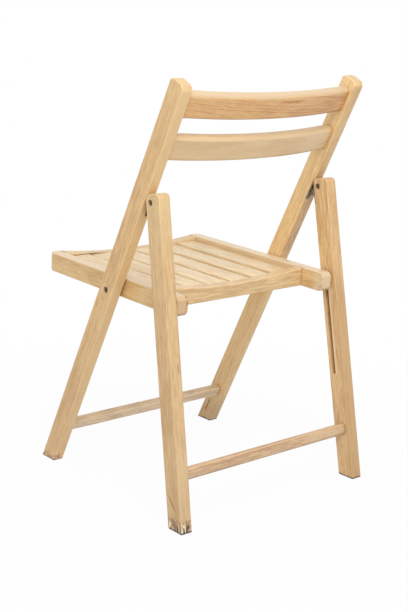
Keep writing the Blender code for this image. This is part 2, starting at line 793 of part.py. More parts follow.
for hand, side in (("left", 1), ("right", -1)):
    make_stile(f"stile_{hand}", side, back_frame, beech)
    make_bracket(f"hinge_bracket_{hand}", side, back_frame, steel)
    for place, u in zip(("upper", "lower"), screw_places()):
        make_screw(f"bracket_screw_{hand}_{place}", side, u, back_frame, zinc)
    make_leg(f"rear_leg_{hand}", side, rear_frame, beech)
    make_rivet(f"hinge_rivet_{hand}", side, rear_frame, steel)
    make_side_rail(f"seat_rail_{hand}", side, seat, beech)
    make_pivot_bolt(f"pivot_bolt_{hand}", side, seat, steel)
    washer = (RAIL_OUTER + FIT, STILE_INNER - FIT)
    make_ring(f"pivot_washer_{hand}", side, washer, WASHER_RADIUS, seat, zinc)
    nut = (RAIL_OUTER - FIT - INSERT_LENGTH, RAIL_OUTER - FIT)
    make_ring(f"insert_nut_{hand}", side, nut, INSERT_RADIUS, seat, zinc)
    make_guide_pin(f"guide_pin_{hand}", side, seat, zinc)
    for place, (b, t) in zip(DOWEL_NAMES, dowel_places()):
        add(f"seat_dowel_{hand}_{place}", dowel(side, b, t, 0), seat, beech)

make_back_rail("back_rail_top", TOP_RAIL, back_frame, warm_beech)
make_back_rail("back_rail_lower", LOWER_RAIL, back_frame, beech)
make_stretcher("front_stretcher", FRONT_STRETCHER, STILE_INNER - FIT, back_frame, beech)
make_stretcher("rear_stretcher", REAR_STRETCHER, rear_stretcher_half(), rear_frame, beech)
for which in ("front", "rear"):
    make_cross_rail(f"seat_rail_{which}", which, seat, beech)
for index in range(SLAT_COUNT):
    make_slat(f"seat_slat_{index + 1}", index, seat, pale_beech)

centre(chair)
for label, frame in (("leg hinge", rear_frame), ("seat pivot", seat)):
    print(label, "axis at", tuple(round(v, 5) for v in frame.matrix_world.translation))
print("seat turn for each unit of leg fold", round(SEAT_RATIO, 5))
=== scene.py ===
"""A folding chair of pale beech: its planed timber and dark steel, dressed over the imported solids."""

import json
import math

import bmesh
import bpy
from mathutils import Matrix, Vector


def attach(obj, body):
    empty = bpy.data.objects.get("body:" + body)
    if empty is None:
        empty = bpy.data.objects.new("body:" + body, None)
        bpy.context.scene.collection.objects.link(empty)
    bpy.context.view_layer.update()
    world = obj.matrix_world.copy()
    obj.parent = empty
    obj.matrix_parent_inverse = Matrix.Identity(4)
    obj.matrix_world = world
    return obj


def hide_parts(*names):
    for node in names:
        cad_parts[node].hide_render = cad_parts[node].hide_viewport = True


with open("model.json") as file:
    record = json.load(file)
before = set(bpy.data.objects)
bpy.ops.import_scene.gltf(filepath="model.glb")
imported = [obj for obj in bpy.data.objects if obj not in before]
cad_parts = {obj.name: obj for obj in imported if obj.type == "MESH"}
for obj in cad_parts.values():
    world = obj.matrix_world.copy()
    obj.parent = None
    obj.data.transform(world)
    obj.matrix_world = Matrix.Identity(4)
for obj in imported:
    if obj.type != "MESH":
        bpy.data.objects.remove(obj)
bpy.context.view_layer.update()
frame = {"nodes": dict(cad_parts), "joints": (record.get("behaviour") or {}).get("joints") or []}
scene = bpy.context.scene

# Stiles: two long beech sticks, each a front leg and a back post in one. They are planed to 23 by
# 38 mm, sawn level at the foot, rounded at the top rear corner and eased along every edge. Each
# has a counterbore for the seat's bolt and a housing in its rear face for the hinge bracket.
HANDS = (("left", 1), ("right", -1))
STILE_LEAN = math.radians(25.2)
STILE_WIDTH = 0.038
STILE_OUTER = 0.2254
STILE_INNER = 0.2026
STILE_TOP = 0.801 / math.cos(STILE_LEAN)
STILE_CORNER = 0.0120
STILE_TOP_LEVEL = 0.009
STILE_TOP_ROUND = 0.006
STICK_EASE = 0.0021
HINGE_BEHIND_STILE = 0.0157
BOLT_HOLE = 0.00325
BOLT_RECESS = 0.0061
RECESS_DEPTH = 0.005
FLANGE_THICK = 0.0025
FLANGE_ABOVE = 0.006
FLANGE_BELOW = 0.0405
PLATE_INNER = 0.2087
PLATE_OUTER = 0.2117
CRACK_DEPTH = 0.0032
FIT = 0.0003
PAST = 0.02

HINGE, PIVOT = (Vector(joint["pos_m"]) for joint in frame["joints"])
hinge_n = STILE_WIDTH + HINGE_BEHIND_STILE
front_foot_y = HINGE.y - HINGE.z * math.tan(STILE_LEAN) - hinge_n / math.cos(STILE_LEAN)
back_place = Matrix.Translation((0, front_foot_y, 0)) @ Matrix.Rotation(-STILE_LEAN, 4, "X")
hinge_u = (back_place.inverted() @ HINGE).z
pivot_n, pivot_u = (back_place.inverted() @ PIVOT).yz


def rounded(corners, arc_steps=6):
    """An outline of (a, b, radius) corners, each radius drawn as an arc."""
    points = []
    for i, (a, b, radius) in enumerate(corners):
        corner = Vector((a, b))
        if radius <= 0:
            points.append(corner)
            continue
        before = (Vector(corners[i - 1][:2]) - corner).normalized()
        after = (Vector(corners[(i + 1) % len(corners)][:2]) - corner).normalized()
        half = before.angle(after) / 2
        centre = corner + (before + after).normalized() * (radius / math.sin(half))
        spoke = corner + before * (radius / math.tan(half)) - centre
        sweep = math.copysign(math.pi - 2 * half, -before.cross(after))
        for step in range(arc_steps + 1):
            points.append(centre + Matrix.Rotation(sweep * step / arc_steps, 2) @ spoke)
    return points


def rectangle(a_low, b_low, a_high, b_high, radius=0.0):
    corners = ((a_low, b_low), (a_high, b_low), (a_high, b_high), (a_low, b_high))
    return rounded([(a, b, radius) for a, b in corners])


def loft(loops):
    """A closed body through loops of matching points, capped at both ends."""
    bm = bmesh.new()
    rings = [[bm.verts.new(point) for point in loop] for loop in loops]
    for ring, following in zip(rings, rings[1:]):
        for i in range(len(ring)):
            j = (i + 1) % len(ring)
            bm.faces.new((ring[i], ring[j], following[j], following[i]))
    bm.faces.new(rings[0])
    bm.faces.new(rings[-1])
    return bm


def across(outline, *stations):
    """An outline in Y and Z, run along X."""
    return loft([[(x, *point) for point in outline] for x in stations])


def bored(y, z, radius, x_near, x_far, sides=32):
    """A round bar along X, to cut a hole with."""
    turn = 2 * math.pi / sides
    outline = [(y + radius * math.cos(turn * i), z + radius * math.sin(turn * i)) for i in range(sides)]
    return across(outline, x_near, x_far)


def linked(name, data):
    """A new object in the scene."""
    obj = bpy.data.objects.new(name, data)
    scene.collection.objects.link(obj)
    return obj


def work_object(bm, name):
    bmesh.ops.recalc_face_normals(bm, faces=bm.faces)
    mesh = bpy.data.meshes.new(name)
    bm.to_mesh(mesh)
    bm.free()
    return linked(name, mesh)


def taken(obj):
    """The object's mesh with its modifiers applied. The object itself is thrown away."""
    graph = bpy.context.evaluated_depsgraph_get()
    mesh = bpy.data.meshes.new_from_object(
        obj.evaluated_get(graph), preserve_all_data_layers=True, depsgraph=graph
    )
    bpy.data.objects.remove(obj)
    return mesh


def crisp(mesh, degrees=38):
    """Shades a mesh smooth, apart from rims that turn by more than this angle."""
    mesh.shade_smooth()
    mesh.set_sharp_from_angle(angle=math.radians(degrees))


def worked(name, bm, ease=0.0, cuts=()):
    """A piece's mesh in its own frame: edges eased, then holes cut, then smooth with crisp rims."""
    obj = work_object(bm, name)
    if ease:
        bevel = obj.modifiers.new("eased edges", "BEVEL")
        bevel.width = ease
        bevel.segments = 4
        bevel.limit_method = "ANGLE"
        bevel.angle_limit = math.radians(40)
    tools = [work_object(cut, f"{name}_cut") for cut in cuts]
    for tool in tools:
        obj.modifiers.new("cut", "BOOLEAN").object = tool
    mesh = taken(obj)
    for tool in tools:
        bpy.data.objects.remove(tool)
    crisp(mesh)
    obj = linked(name, mesh)
    obj.modifiers.new("flat faces stay flat", "WEIGHTED_NORMAL").keep_sharp = True
    return taken(obj)


def lay_grain(mesh, along, pith, slope=0.0, sweep=0.0, bend=None, flat=0.97):
    """Writes each point's place in its board, with the fibres along Z, and marks the sawn ends.

    The fibres may slope or sweep across the board's face, and bend with a bowed board. Eased edges
    that face up, back and left are marked 1 for a painted highlight, and the others -1 for painted shade.
    """
    order = {"X": (1, 2, 0), "Y": (2, 0, 1), "Z": (0, 1, 2)}[along]
    grain = mesh.attributes.new("grain", "FLOAT_VECTOR", "POINT")
    for vertex, value in zip(mesh.vertices, grain.data):
        place = Vector([vertex.co[axis] for axis in order])
        place.y += (slope + sweep * place.z) * place.z
        place.x -= bend(place.z) if bend else 0.0
        value.vector = place + Vector(pith)
    ends = mesh.attributes.new("sawn_end", "FLOAT", "FACE")
    edges = mesh.attributes.new("eased_edge", "FLOAT", "FACE")
    for face, end, edge in zip(mesh.polygons, ends.data, edges.data):
        facing = [abs(axis) for axis in face.normal]
        end.value = 1.0 if facing["XYZ".index(along)] > 0.75 else 0.0
        rounded_top = along == "Z" and facing[0] < 0.1
        if max(facing) < flat and not rounded_top:
            edge.value = 1.0 if sum(face.normal) > 0.5 else -1.0


def fit_piece(name, mesh, place, body, nodes, finish):
    """Puts a finished mesh in place for good, and lets it stand for its solids."""
    mesh.transform(place)
    mesh.materials.clear()
    mesh.materials.append(finish)
    piece = linked(name, mesh)
    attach(piece, body)
    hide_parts(*nodes)


def fit_timber(name, bm, place, body, finish, along, pith, ease=0.0, cuts=(), slot="beech", **fibres):
    """Works a stick or a board, lays its grain and fits it in the place of its solid."""
    mesh = worked(name, bm, ease, cuts)
    lay_grain(mesh, along, pith, **fibres)
    fit_piece(f"{name}_timber", mesh, place, body, [name], finish)


class Wiring:
    """A node tree, wired one node at a time."""

    def __init__(self, tree):
        self.tree = tree

    def feed(self, socket, value):
        """Links another node's output to a socket, or sets the socket's own value."""
        if isinstance(value, bpy.types.NodeSocket):
            self.tree.links.new(value, socket)
        else:
            socket.default_value = value

    def add(self, kind, inputs, out=0, **settings):
        node = self.tree.nodes.new(kind)
        for key, value in settings.items():
            setattr(node, key, value)
        for key, value in inputs.items():
            for source in value if isinstance(value, list) else [value]:
                self.feed(node.inputs[key], source)
        return node.outputs[out]

    def sums(self, operation, a, b=0.0, clamp=False):
        return self.add("ShaderNodeMath", {0: a, 1: b}, operation=operation, use_clamp=clamp)

    def vectors(self, operation, a, b=(0, 0, 0), out=0):
        return self.add("ShaderNodeVectorMath", {0: a, 1: b}, out=out, operation=operation)


class Recipe(Wiring):
    """A material's nodes. A mask is a share from 0 to 1, for a colour or for another mask."""

    def __init__(self, name):
        self.material = bpy.data.materials.new(name)
        self.material.use_nodes = True
        super().__init__(self.material.node_tree)
        self.shader = self.tree.nodes["Principled BSDF"]
        self.place = self.add("ShaderNodeTexCoord", {}, out=3)

    def into(self, socket, value):
        self.feed(self.shader.inputs[socket], value)

    def product(self, first, *others, clamp=False):
        for other in others:
            first = self.sums("MULTIPLY", first, other, clamp)
        return first

    def scaled(self, value, scale, start):
        """A value times a scale, added to a start."""
        return self.add("ShaderNodeMath", {0: value, 1: scale, 2: start}, operation="MULTIPLY_ADD")

    def noise(self, vector, scale, detail=2.0, roughness=0.5, out=0):
        inputs = {"Vector": vector, "Scale": scale, "Detail": detail, "Roughness": roughness}
        return self.add("ShaderNodeTexNoise", inputs, out=out)

    def figure(self, across_grain, along_grain, detail=2.0, roughness=0.5, out=0):
        """Noise that follows the fibres, with so many patches to the metre across and along them."""
        stretched = self.vectors("MULTIPLY", self.grain, (across_grain, across_grain, along_grain))
        return self.noise(stretched, 1.0, detail, roughness, out)

    def ease(self, value, low, high, to_low=0.0, to_high=1.0):
        inputs = {"Value": value, 1: low, 2: high, 3: to_low, 4: to_high}
        return self.add("ShaderNodeMapRange", inputs, interpolation_type="SMOOTHSTEP")

    def fade(self, value, low, high, share=1.0):
        return self.ease(value, low, high, share, 0.0)

    def between(self, value, start, full, waning, end, share=1.0):
        """A mask that comes in from start to full, and goes out again from waning to end."""
        return self.product(self.ease(value, start, full), self.fade(value, waning, end, share))

    def ragged(self, value, jag, reach):
        """A distance that wavers with a noise, for a torn or crumbled edge."""
        return self.sums("ADD", value, self.product(self.sums("SUBTRACT", jag, 0.5), reach))

    def lens(self, a, a_radius, b, b_radius):
        """0 in the middle of a lens-shaped spot, and 1 at its rim."""
        a_share = self.sums("POWER", self.sums("DIVIDE", a, a_radius), 2.0)
        b_share = self.sums("POWER", self.sums("DIVIDE", b, b_radius), 2.0)
        return self.sums("ADD", a_share, b_share)

    def mix(self, share, a, b):
        a, b = ((*c, 1.0) if isinstance(c, tuple) else c for c in (a, b))
        return self.add("ShaderNodeMix", {0: share, 6: a, 7: b}, out=2, data_type="RGBA")

    def bump(self, height, strength, distance):
        inputs = {"Height": height, "Strength": strength, "Distance": distance}
        return self.add("ShaderNodeBump", inputs)

    def along(self, origin, direction):
        """How far the shaded point lies from an origin, along a direction."""
        offset = self.vectors("SUBTRACT", self.place, origin)
        return self.vectors("DOT_PRODUCT", offset, direction, out=1)

    def behind(self, axes, n=0.0):
        return self.along(axes @ Vector((0, n, 0)), axes.col[1].xyz)

    def above(self, axes, u=0.0):
        return self.along(axes @ Vector((0, 0, u)), axes.col[2].xyz)

    def leftward(self, x=0.0):
        return self.along((x, 0, 0), (1, 0, 0))


def beech(
    name, pale, deep, rings=0.5, streaks=1.0, flecks=0.35, soil_and_low_shade=0.005, marks=(), spacing=0.003, sawn=0.75
):
    """Lacquered beech. Rings run round a pith outside the board, so every face and end agrees."""
    r = Recipe(name)
    r.height = r.add("ShaderNodeSeparateXYZ", {0: r.place}, out=2)
    r.grain = r.add("ShaderNodeAttribute", {}, out=1, attribute_name="grain")
    ends = r.add("ShaderNodeAttribute", {}, out=2, attribute_name="sawn_end")
    edges = r.add("ShaderNodeAttribute", {}, out=2, attribute_name="eased_edge")

    wander = r.vectors("SUBTRACT", r.figure(9.0, 1.6, out=1), (0.5, 0.5, 0.5))
    wander = r.vectors("MULTIPLY", wander, (0.02, 0.02, 0.0))
    board = r.vectors("MULTIPLY", r.vectors("ADD", r.grain, wander), (1.0, 1.0, 0.0))
    ring = r.add(
        "ShaderNodeTexNoise",
        {"W": r.vectors("LENGTH", board, out=1), "Scale": 1 / spacing, "Detail": 2.0, "Roughness": 0.6},
        noise_dimensions="1D",
    )
    fibre = r.figure(300.0, 28.0, 3.0, 0.6)
    band = r.figure(80.0, 9.0)
    cloud = r.figure(24.0, 9.0)
    pore = r.ease(r.figure(700.0, 75.0, 1.0), 0.58, 0.70)

    depth = r.product(r.ease(ring, 0.50, 0.70), rings)
    layers = ((fibre, 3.4 * streaks), (band, 1.4 * streaks), (cloud, 1.9))
    for layer, weight in layers:
        depth = r.scaled(layer, weight, depth)
    level = 0.45 - 0.35 * rings - 0.5 * sum(weight for _, weight in layers)
    colour = r.mix(r.sums("ADD", depth, level, clamp=True), pale, deep)
    brown = tuple(0.60 * c for c in deep)
    colour = r.mix(r.product(pore, flecks), colour, brown)
    raw_end = r.mix(pore, (0.58, 0.42, 0.28), (0.38, 0.25, 0.14))
    colour = r.mix(r.product(ends, sawn), colour, raw_end)
    # Painted highlight on the eased edges that face up, back and left, and painted shade on the others.
    edge_highlight = r.product(edges, r.ease(cloud, 0.35, 0.65, 0.22, 0.6), clamp=True)
    colour = r.mix(edge_highlight, colour, tuple(1.10 * c + 0.02 for c in pale))
    edge_shade = r.product(edges, r.ease(band, 0.35, 0.65, -0.45, -0.85), clamp=True)
    colour = r.mix(edge_shade, colour, brown)
    for mark in marks:
        colour = mark(r, colour)
    if soil_and_low_shade:
        # Painted shade: the colour darkens towards the floor over the lowest 0.45 m. Below it, a ragged
        # line of soil at the foot.
        colour = r.mix(r.fade(r.height, 0.0, 0.45, 0.13), colour, (0.30, 0.20, 0.11))
        edge = r.scaled(r.figure(160.0, 90.0, 3.0, 0.7), -1.2 * soil_and_low_shade, r.height)
        soil = r.fade(edge, -0.45 * soil_and_low_shade, 0.35 * soil_and_low_shade, 0.85)
        colour = r.mix(soil, colour, (0.05, 0.036, 0.024))

    r.into("Base Color", colour)
    rough = r.scaled(fibre, 0.16, r.product(ends, 0.2))
    rough = r.scaled(edge_highlight, -0.12, rough)
    r.into("Roughness", r.sums("ADD", rough, 0.38, clamp=True))
    relief = r.sums("SUBTRACT", r.product(fibre, 0.6), pore)
    r.into("Normal", r.bump(relief, 0.22, 0.0002))
    r.into("Coat Weight", 0.28)
    r.into("Coat Roughness", 0.25)
    return r.material


def shaded_foot(r, colour):
    """The last of the stick above the floor, painted darker as painted shade."""
    return r.mix(r.fade(r.height, 0.02, 0.10, 0.45), colour, (0.33, 0.20, 0.10))


def worn_foot(r, colour):
    """The left foot's lower rim: the lacquer is gone, and the wood has turned orange-brown."""
    chip = r.figure(190.0, 150.0)
    bare = r.mix(r.ease(chip, 0.45, 0.55), (0.45, 0.21, 0.075), (0.95, 0.68, 0.40))
    edge = r.ragged(r.height, chip, 0.012)
    return r.mix(r.fade(edge, 0.010, 0.015, 0.9), colour, bare)


def dark_rim(share):
    """A mark for a foot: a ragged brown-black line where the floor has ground grime into its edge."""

    def mark(r, colour):
        edge = r.ragged(r.height, r.figure(120.0, 120.0), 0.008)
        return r.mix(r.fade(edge, 0.0030, 0.0048, share), colour, (0.13, 0.06, 0.022))

    return mark


def lit_upper_end(r, colour):
    """The stile's upper end, painted paler towards the top as painted light."""
    return r.mix(r.ease(r.height, 0.60, 0.80, 0.0, 0.15), colour, (0.92, 0.68, 0.37))


def stile_rear(r):
    """A mask of the stile's rear face."""
    return r.ease(r.behind(back_place, STILE_WIDTH), -0.0030, -0.0008)


def lit_rear_face(r, colour):
    """The left stile's rear face, painted paler and more even, as painted light."""
    return r.mix(r.product(stile_rear(r), 0.57), colour, (0.877, 0.625, 0.316))


def shaded_streaked_rear(r, colour):
    """Brown streaks along the grain in the stile's rear face, strongest between bracket and seat, as
    painted shade.
    """
    up = r.above(back_place, hinge_u)
    zone = r.product(r.ease(up, -0.21, -0.16), r.ease(up, -0.045, -0.03, 1.0, 0.5))
    streak = r.ease(r.figure(420.0, 60.0, 3.0, 0.6), 0.35, 0.65, 0.25, 0.85)
    return r.mix(r.product(stile_rear(r), zone, streak), colour, (0.43, 0.25, 0.14))


STILE_PALE = (0.80, 0.53, 0.248)
STILE_DEEP = (0.625, 0.368, 0.148)
stile_timber = {
    "left": beech(
        "left_stile_beech", STILE_PALE, STILE_DEEP, rings=0.3, streaks=0.85, sawn=0.4,
        marks=[lit_rear_face, lit_upper_end, worn_foot, dark_rim(0.4)],
    ),
    "right": beech(
        "right_stile_beech", (0.91, 0.64, 0.315), (0.765, 0.495, 0.21), rings=0.4, sawn=0.4,
        marks=[shaded_streaked_rear, shaded_foot, dark_rim(0.9)],
    ),
}
stile_pith = {"left": (0.031, 0.052, 0.4), "right": (-0.044, 0.038, 1.9)}


def housing(side):
    """The shallow recess that the hinge bracket's flange is let into."""
    outline = rectangle(
        STILE_WIDTH - FLANGE_THICK - FIT,
        hinge_u - FLANGE_BELOW - FIT,
        STILE_WIDTH + PAST,
        hinge_u + FLANGE_ABOVE + FIT,
    )
    return across(outline, side * (STILE_INNER - PAST), side * (PLATE_OUTER + FIT))


def crack(side):
    """A split that has opened along the grain, low on the inner face."""
    outline = [(0.0132, 0.026), (0.0156, 0.032), (0.0152, 0.060), (0.0136, 0.068), (0.0124, 0.052)]
    return across(outline, side * (STILE_INNER - PAST), side * (STILE_INNER + CRACK_DEPTH))


for hand, side in HANDS:
    top = STILE_TOP + STILE_TOP_LEVEL * math.tan(STILE_LEAN)
    outline = rounded(
        [
            (0, 0, 0),
            (STILE_WIDTH, STILE_WIDTH * math.tan(STILE_LEAN), 0),
            (STILE_WIDTH, top, STILE_CORNER),
            (STILE_TOP_LEVEL, top, STILE_TOP_ROUND),
            (0, STILE_TOP, 0),
        ],
        arc_steps=8,
    )
    stick = across(outline, side * STILE_INNER, side * STILE_OUTER)
    outside = side * (STILE_OUTER + PAST)
    cuts = [
        bored(pivot_n, pivot_u, BOLT_HOLE, side * (STILE_INNER - PAST), outside),
        bored(pivot_n, pivot_u, BOLT_RECESS, side * (STILE_OUTER - RECESS_DEPTH), outside),
        housing(side),
    ]
    if hand == "right":
        cuts.append(crack(side))
    timber, pith = stile_timber[hand], stile_pith[hand]
    fit_timber(
        f"stile_{hand}", stick, back_place, "back_frame", timber, "Z", pith, STICK_EASE, cuts, slope=0.05
    )

# Back rails: two beech boards between the stiles, steamed to a gentle bow that fits the sitter's
# back. Their edges are well rounded, and each end is tenoned into a stile with a tight shoulder.
BACK_RAIL_HEIGHT = 0.050
BACK_RAIL_THICK = 0.022
BACK_RAIL_BOW = 0.017
BACK_RAIL_ROUND = 0.0085
BACK_RAIL_HALF = STILE_INNER - FIT
TOP_RAIL_U = STILE_TOP - 0.039
LOWER_RAIL_U = TOP_RAIL_U - 0.085
FIBRES_IN_BOW = 0.72


def dark_ends(half):
    """A mark for a rail: thin lines of old grime where its shoulders meet the other timber."""

    def mark(r, colour):
        out = r.sums("ABSOLUTE", r.leftward())
        return r.mix(r.ease(out, half - 0.0020, half - 0.0008, 0.0, 0.6), colour, (0.17, 0.10, 0.05))

    return mark


def sheen_upper_edge(r, colour):
    """A painted sheen along the board's upper edge."""
    up = r.scaled(r.figure(40.0, 12.0), 0.006, r.above(back_place, TOP_RAIL_U))
    return r.mix(r.ease(up, 0.0200, 0.0270, 0.0, 0.8), colour, (0.69, 0.535, 0.345))


def resin_streak(r, colour):
    """An orange-brown streak under the top rail's upper edge, right of its middle."""
    up = r.ragged(r.above(back_place, TOP_RAIL_U + 0.0118), r.figure(160.0, 45.0), 0.008)
    spot = r.lens(r.leftward(-0.042), 0.042, up, 0.0034)
    return r.mix(r.fade(spot, 0.2, 1.1, 0.85), colour, (0.57, 0.235, 0.062))


shoulder_lines = dark_ends(STILE_INNER)
top_rail_timber = beech(
    "top_rail_beech", (0.79, 0.475, 0.206), (0.56, 0.255, 0.08),
    rings=0.8, spacing=0.0014, streaks=0.58, flecks=0.25, soil_and_low_shade=0,
    marks=[resin_streak, sheen_upper_edge, shoulder_lines],
)
lower_rail_timber = beech(
    "lower_rail_beech", (0.79, 0.572, 0.325), (0.675, 0.449, 0.226),
    rings=0.2, streaks=0.4, flecks=0.15, soil_and_low_shade=0, marks=[shoulder_lines],
)


def bow(x):
    return BACK_RAIL_BOW * (1 - (x / BACK_RAIL_HALF) ** 2)


def bent_fibres(x):
    """The rails were steamed to most of their bow, so their fibres follow that much of it."""
    return FIBRES_IN_BOW * bow(x)


def spread(half, count=33):
    """Even places along X, from one shoulder to the other."""
    return [half * (2 * i / (count - 1) - 1) for i in range(count)]


def section(n, u, thick, height, radius):
    """A bar's rounded outline about its middle."""
    return rectangle(n - thick / 2, u - height / 2, n + thick / 2, u + height / 2, radius)


def bowed_rail(middle_u):
    """A rail's loops along X: the same rounded section, set back along a parabola."""
    loops = []
    for x in spread(BACK_RAIL_HALF):
        n = STILE_WIDTH / 2 + bow(x)
        outline = section(n, middle_u, BACK_RAIL_THICK, BACK_RAIL_HEIGHT, BACK_RAIL_ROUND)
        loops.append([(x, *point) for point in outline])
    return loft(loops)


for name, middle_u, pith, slope, sweep, timber, slot in (
    ("back_rail_top", TOP_RAIL_U, (0.030, -0.870, 0.2), -0.06, -0.30, top_rail_timber, "warm_beech"),
    ("back_rail_lower", LOWER_RAIL_U, (0.020, -0.60, 2.2), 0.0, 0.0, lower_rail_timber, "beech"),
):
    fibres = {"slope": slope, "sweep": sweep, "bend": bent_fibres}
    fit_timber(name, bowed_rail(middle_u), back_place, "back_frame", timber, "X", pith, slot=slot, **fibres)

# Rear legs: two 26 by 38 mm sticks that hang from the hinge rivets and splay outwards. The top is
# rounded to roll on the stile, and a saw kerf takes the bracket's plate. A straight groove down
# the inner face guides the seat's pin. The left foot is splintered from being dragged.
LEG_LEAN = math.radians(10.8)
LEG_FRONT = -0.0124
LEG_REAR = 0.0252
LEG_OUTER = 0.2254
LEG_INNER = 0.1996
LEG_SPLAY = 0.014
LEG_TOP_ROUND = 0.010
STOP_GAP = 0.0004
LEG_DROP = HINGE.z / math.cos(LEG_LEAN)
OPEN_ANGLE = STILE_LEAN + LEG_LEAN
RIVET_HOLE = 0.0028
RIVET_RECESS = 0.0060
KERF_HALF = 0.0018
KERF_NOSE = 0.0093
GROOVE_BEHIND = LEG_FRONT + 0.0128
GROOVE_HALF = 0.0042
GROOVE_DEPTH = 0.0105
GROOVE_TOP = -0.175
GROOVE_LOW = -0.380
rear_place = Matrix.Translation(HINGE) @ Matrix.Rotation(LEG_LEAN, 4, "X")


def leg_top():
    """How far above the hinge the leg's head ends, so that its round corner rests on the stile."""
    forward = (-LEG_FRONT - LEG_TOP_ROUND) * math.cos(OPEN_ANGLE)
    room = HINGE_BEHIND_STILE - STOP_GAP - LEG_TOP_ROUND - forward
    return room / math.sin(OPEN_ANGLE) + LEG_TOP_ROUND


def leg_foot(n):
    """How far below the hinge the leg meets the floor, at this depth in the leg."""
    return -(HINGE.z + n * math.sin(LEG_LEAN)) / math.cos(LEG_LEAN)


def splayed(bm, side):
    for vertex in bm.verts:
        vertex.co.x -= side * LEG_SPLAY * vertex.co.z / LEG_DROP
    return bm


def kerf(side):
    """The saw cut in the leg's head, open to the front, that the bracket's plate turns in."""
    far = LEG_FRONT - PAST
    steps = 8
    nose = []
    for step in range(steps + 1):
        angle = (math.pi / 2 - OPEN_ANGLE) * step / steps
        nose.append((KERF_NOSE * math.cos(angle), KERF_NOSE * math.sin(angle)))
    low = -math.hypot(HINGE_BEHIND_STILE, FLANGE_BELOW) - FIT
    top = nose[-1][1] + (nose[-1][0] - far) * math.tan(OPEN_ANGLE)
    outline = [(far, low), (KERF_NOSE, low), *nose, (far, top)]
    middle = (PLATE_INNER + PLATE_OUTER) / 2
    return across(outline, side * (middle - KERF_HALF), side * (middle + KERF_HALF))


def splinter(x, n, v_low, length, width, slant):
    """A torn sliver: a thin wedge that opens at the foot and closes up the grain."""
    base = [(x - width, n - width), (x + width, n - 0.6 * width), (x + 0.3 * width, n + width)]
    tip = 0.12 * width
    end = [(x + slant - tip, n - tip), (x + slant + tip, n), (x + slant, n + tip)]
    return loft([[(*p, v_low - 0.004) for p in base], [(*p, v_low + length) for p in end]])


def torn_foot():
    """The splits and chips in the left foot, on its outer and rear faces."""
    low = leg_foot(LEG_REAR)
    outer = LEG_OUTER + LEG_SPLAY
    places = (
        (outer, -0.004, 0.020, 0.0030, 0.0005),
        (outer, 0.004, 0.034, 0.0022, -0.0008),
        (outer - 0.0005, 0.0165, 0.024, 0.0026, 0.0004),
        (outer - 0.006, LEG_REAR, 0.018, 0.0024, 0.0012),
        (outer - 0.012, LEG_REAR, 0.026, 0.0030, -0.0010),
        (outer - 0.018, LEG_REAR + 0.0005, 0.020, 0.0034, 0.0008),
        (outer + 0.0006, LEG_REAR + 0.0006, 0.014, 0.0048, 0.0),
    )
    return [splinter(x, n, low, length, width, slant) for x, n, length, width, slant in places]


def torn_wood(r, colour):
    """Raw pale wood and dark cracks where the left foot's surface has broken away."""
    edge = r.ragged(r.height, r.figure(240.0, 40.0, 3.0, 0.7), 0.020)
    crumb = r.ease(r.figure(190.0, 60.0, 2.0, 0.6), 0.44, 0.54)
    torn = r.mix(crumb, (0.99, 0.83, 0.58), (0.46, 0.25, 0.09))
    colour = r.mix(r.fade(edge, 0.021, 0.025, 0.9), colour, torn)
    rim = r.between(edge, 0.0195, 0.0215, 0.0225, 0.0245, 0.4)
    colour = r.mix(rim, colour, (0.32, 0.18, 0.08))
    split = r.ease(r.figure(190.0, 45.0, 1.5, 0.6), 0.53, 0.57)
    split = r.product(split, r.fade(r.height, 0.010, 0.024, 0.97))
    return r.mix(split, colour, (0.06, 0.030, 0.014))


def lifted_sliver(r, colour):
    """A sliver lifts from the left foot's outer face: a slanting brown gap beside pale wood."""
    up = r.above(rear_place, leg_foot(0))
    outside = r.ease(r.leftward(LEG_OUTER + LEG_SPLAY), -0.006, -0.003)
    zone = r.product(r.between(up, 0.034, 0.044, 0.056, 0.068), outside)
    off = r.scaled(up, 0.50, r.behind(rear_place, 0.0285))
    torn = r.between(off, -0.0095, -0.0060, -0.0032, -0.0014, 0.6)
    gap = r.between(off, -0.0040, -0.0020, 0.0016, 0.0038, 0.95)
    colour = r.mix(r.product(torn, zone), colour, (0.86, 0.66, 0.40))
    return r.mix(r.product(gap, zone), colour, (0.45, 0.22, 0.07))


def bark_fleck(r, colour):
    """A short brown fleck in the left leg's rear face, half way up."""
    spot = r.lens(r.leftward(0.2142), 0.0022, r.above(rear_place, -0.297), 0.012)
    return r.mix(r.fade(spot, 0.2, 1.0, 0.75), colour, (0.38, 0.20, 0.08))


def shaded_front_edge(r, colour):
    """Painted shade: a dark line down the leg's front edge near its head, beside the stile and the bracket.
    """
    edge = r.fade(r.behind(rear_place, LEG_FRONT), 0.0024, 0.0044, 0.9)
    head = r.ease(r.above(rear_place), -0.040, -0.028)
    return r.mix(r.product(edge, head), colour, (0.09, 0.055, 0.03))


def pale_rear_lit_head(r, colour):
    """The left leg's rear face, painted a little paler near the floor, and its head, painted lighter
    towards the top as painted light.
    """
    face = r.ease(r.behind(rear_place, LEG_REAR), -0.0030, -0.0008)
    share = r.product(face, r.ease(r.height, 0.08, 0.25, 0.15, 0.06))
    colour = r.mix(share, colour, (0.83, 0.655, 0.44))
    return r.mix(r.ease(r.height, 0.44, 0.56, 0.0, 0.3), colour, (0.84, 0.645, 0.34))


def darker_side_low_shade(low, high, brown):
    """A mark for a stick with a warmer, darker side from one depth in the board to another, strongest low
    down as painted shade.
    """

    def mark(r, colour):
        deep = r.add("ShaderNodeSeparateXYZ", {0: r.grain}, out=1)
        deep = r.scaled(r.figure(150.0, 5.0), 0.010, deep)
        share = r.product(r.ease(deep, low, high), r.ease(r.height, 0.30, 0.52, 0.75, 0.2))
        return r.mix(share, colour, brown)

    return mark


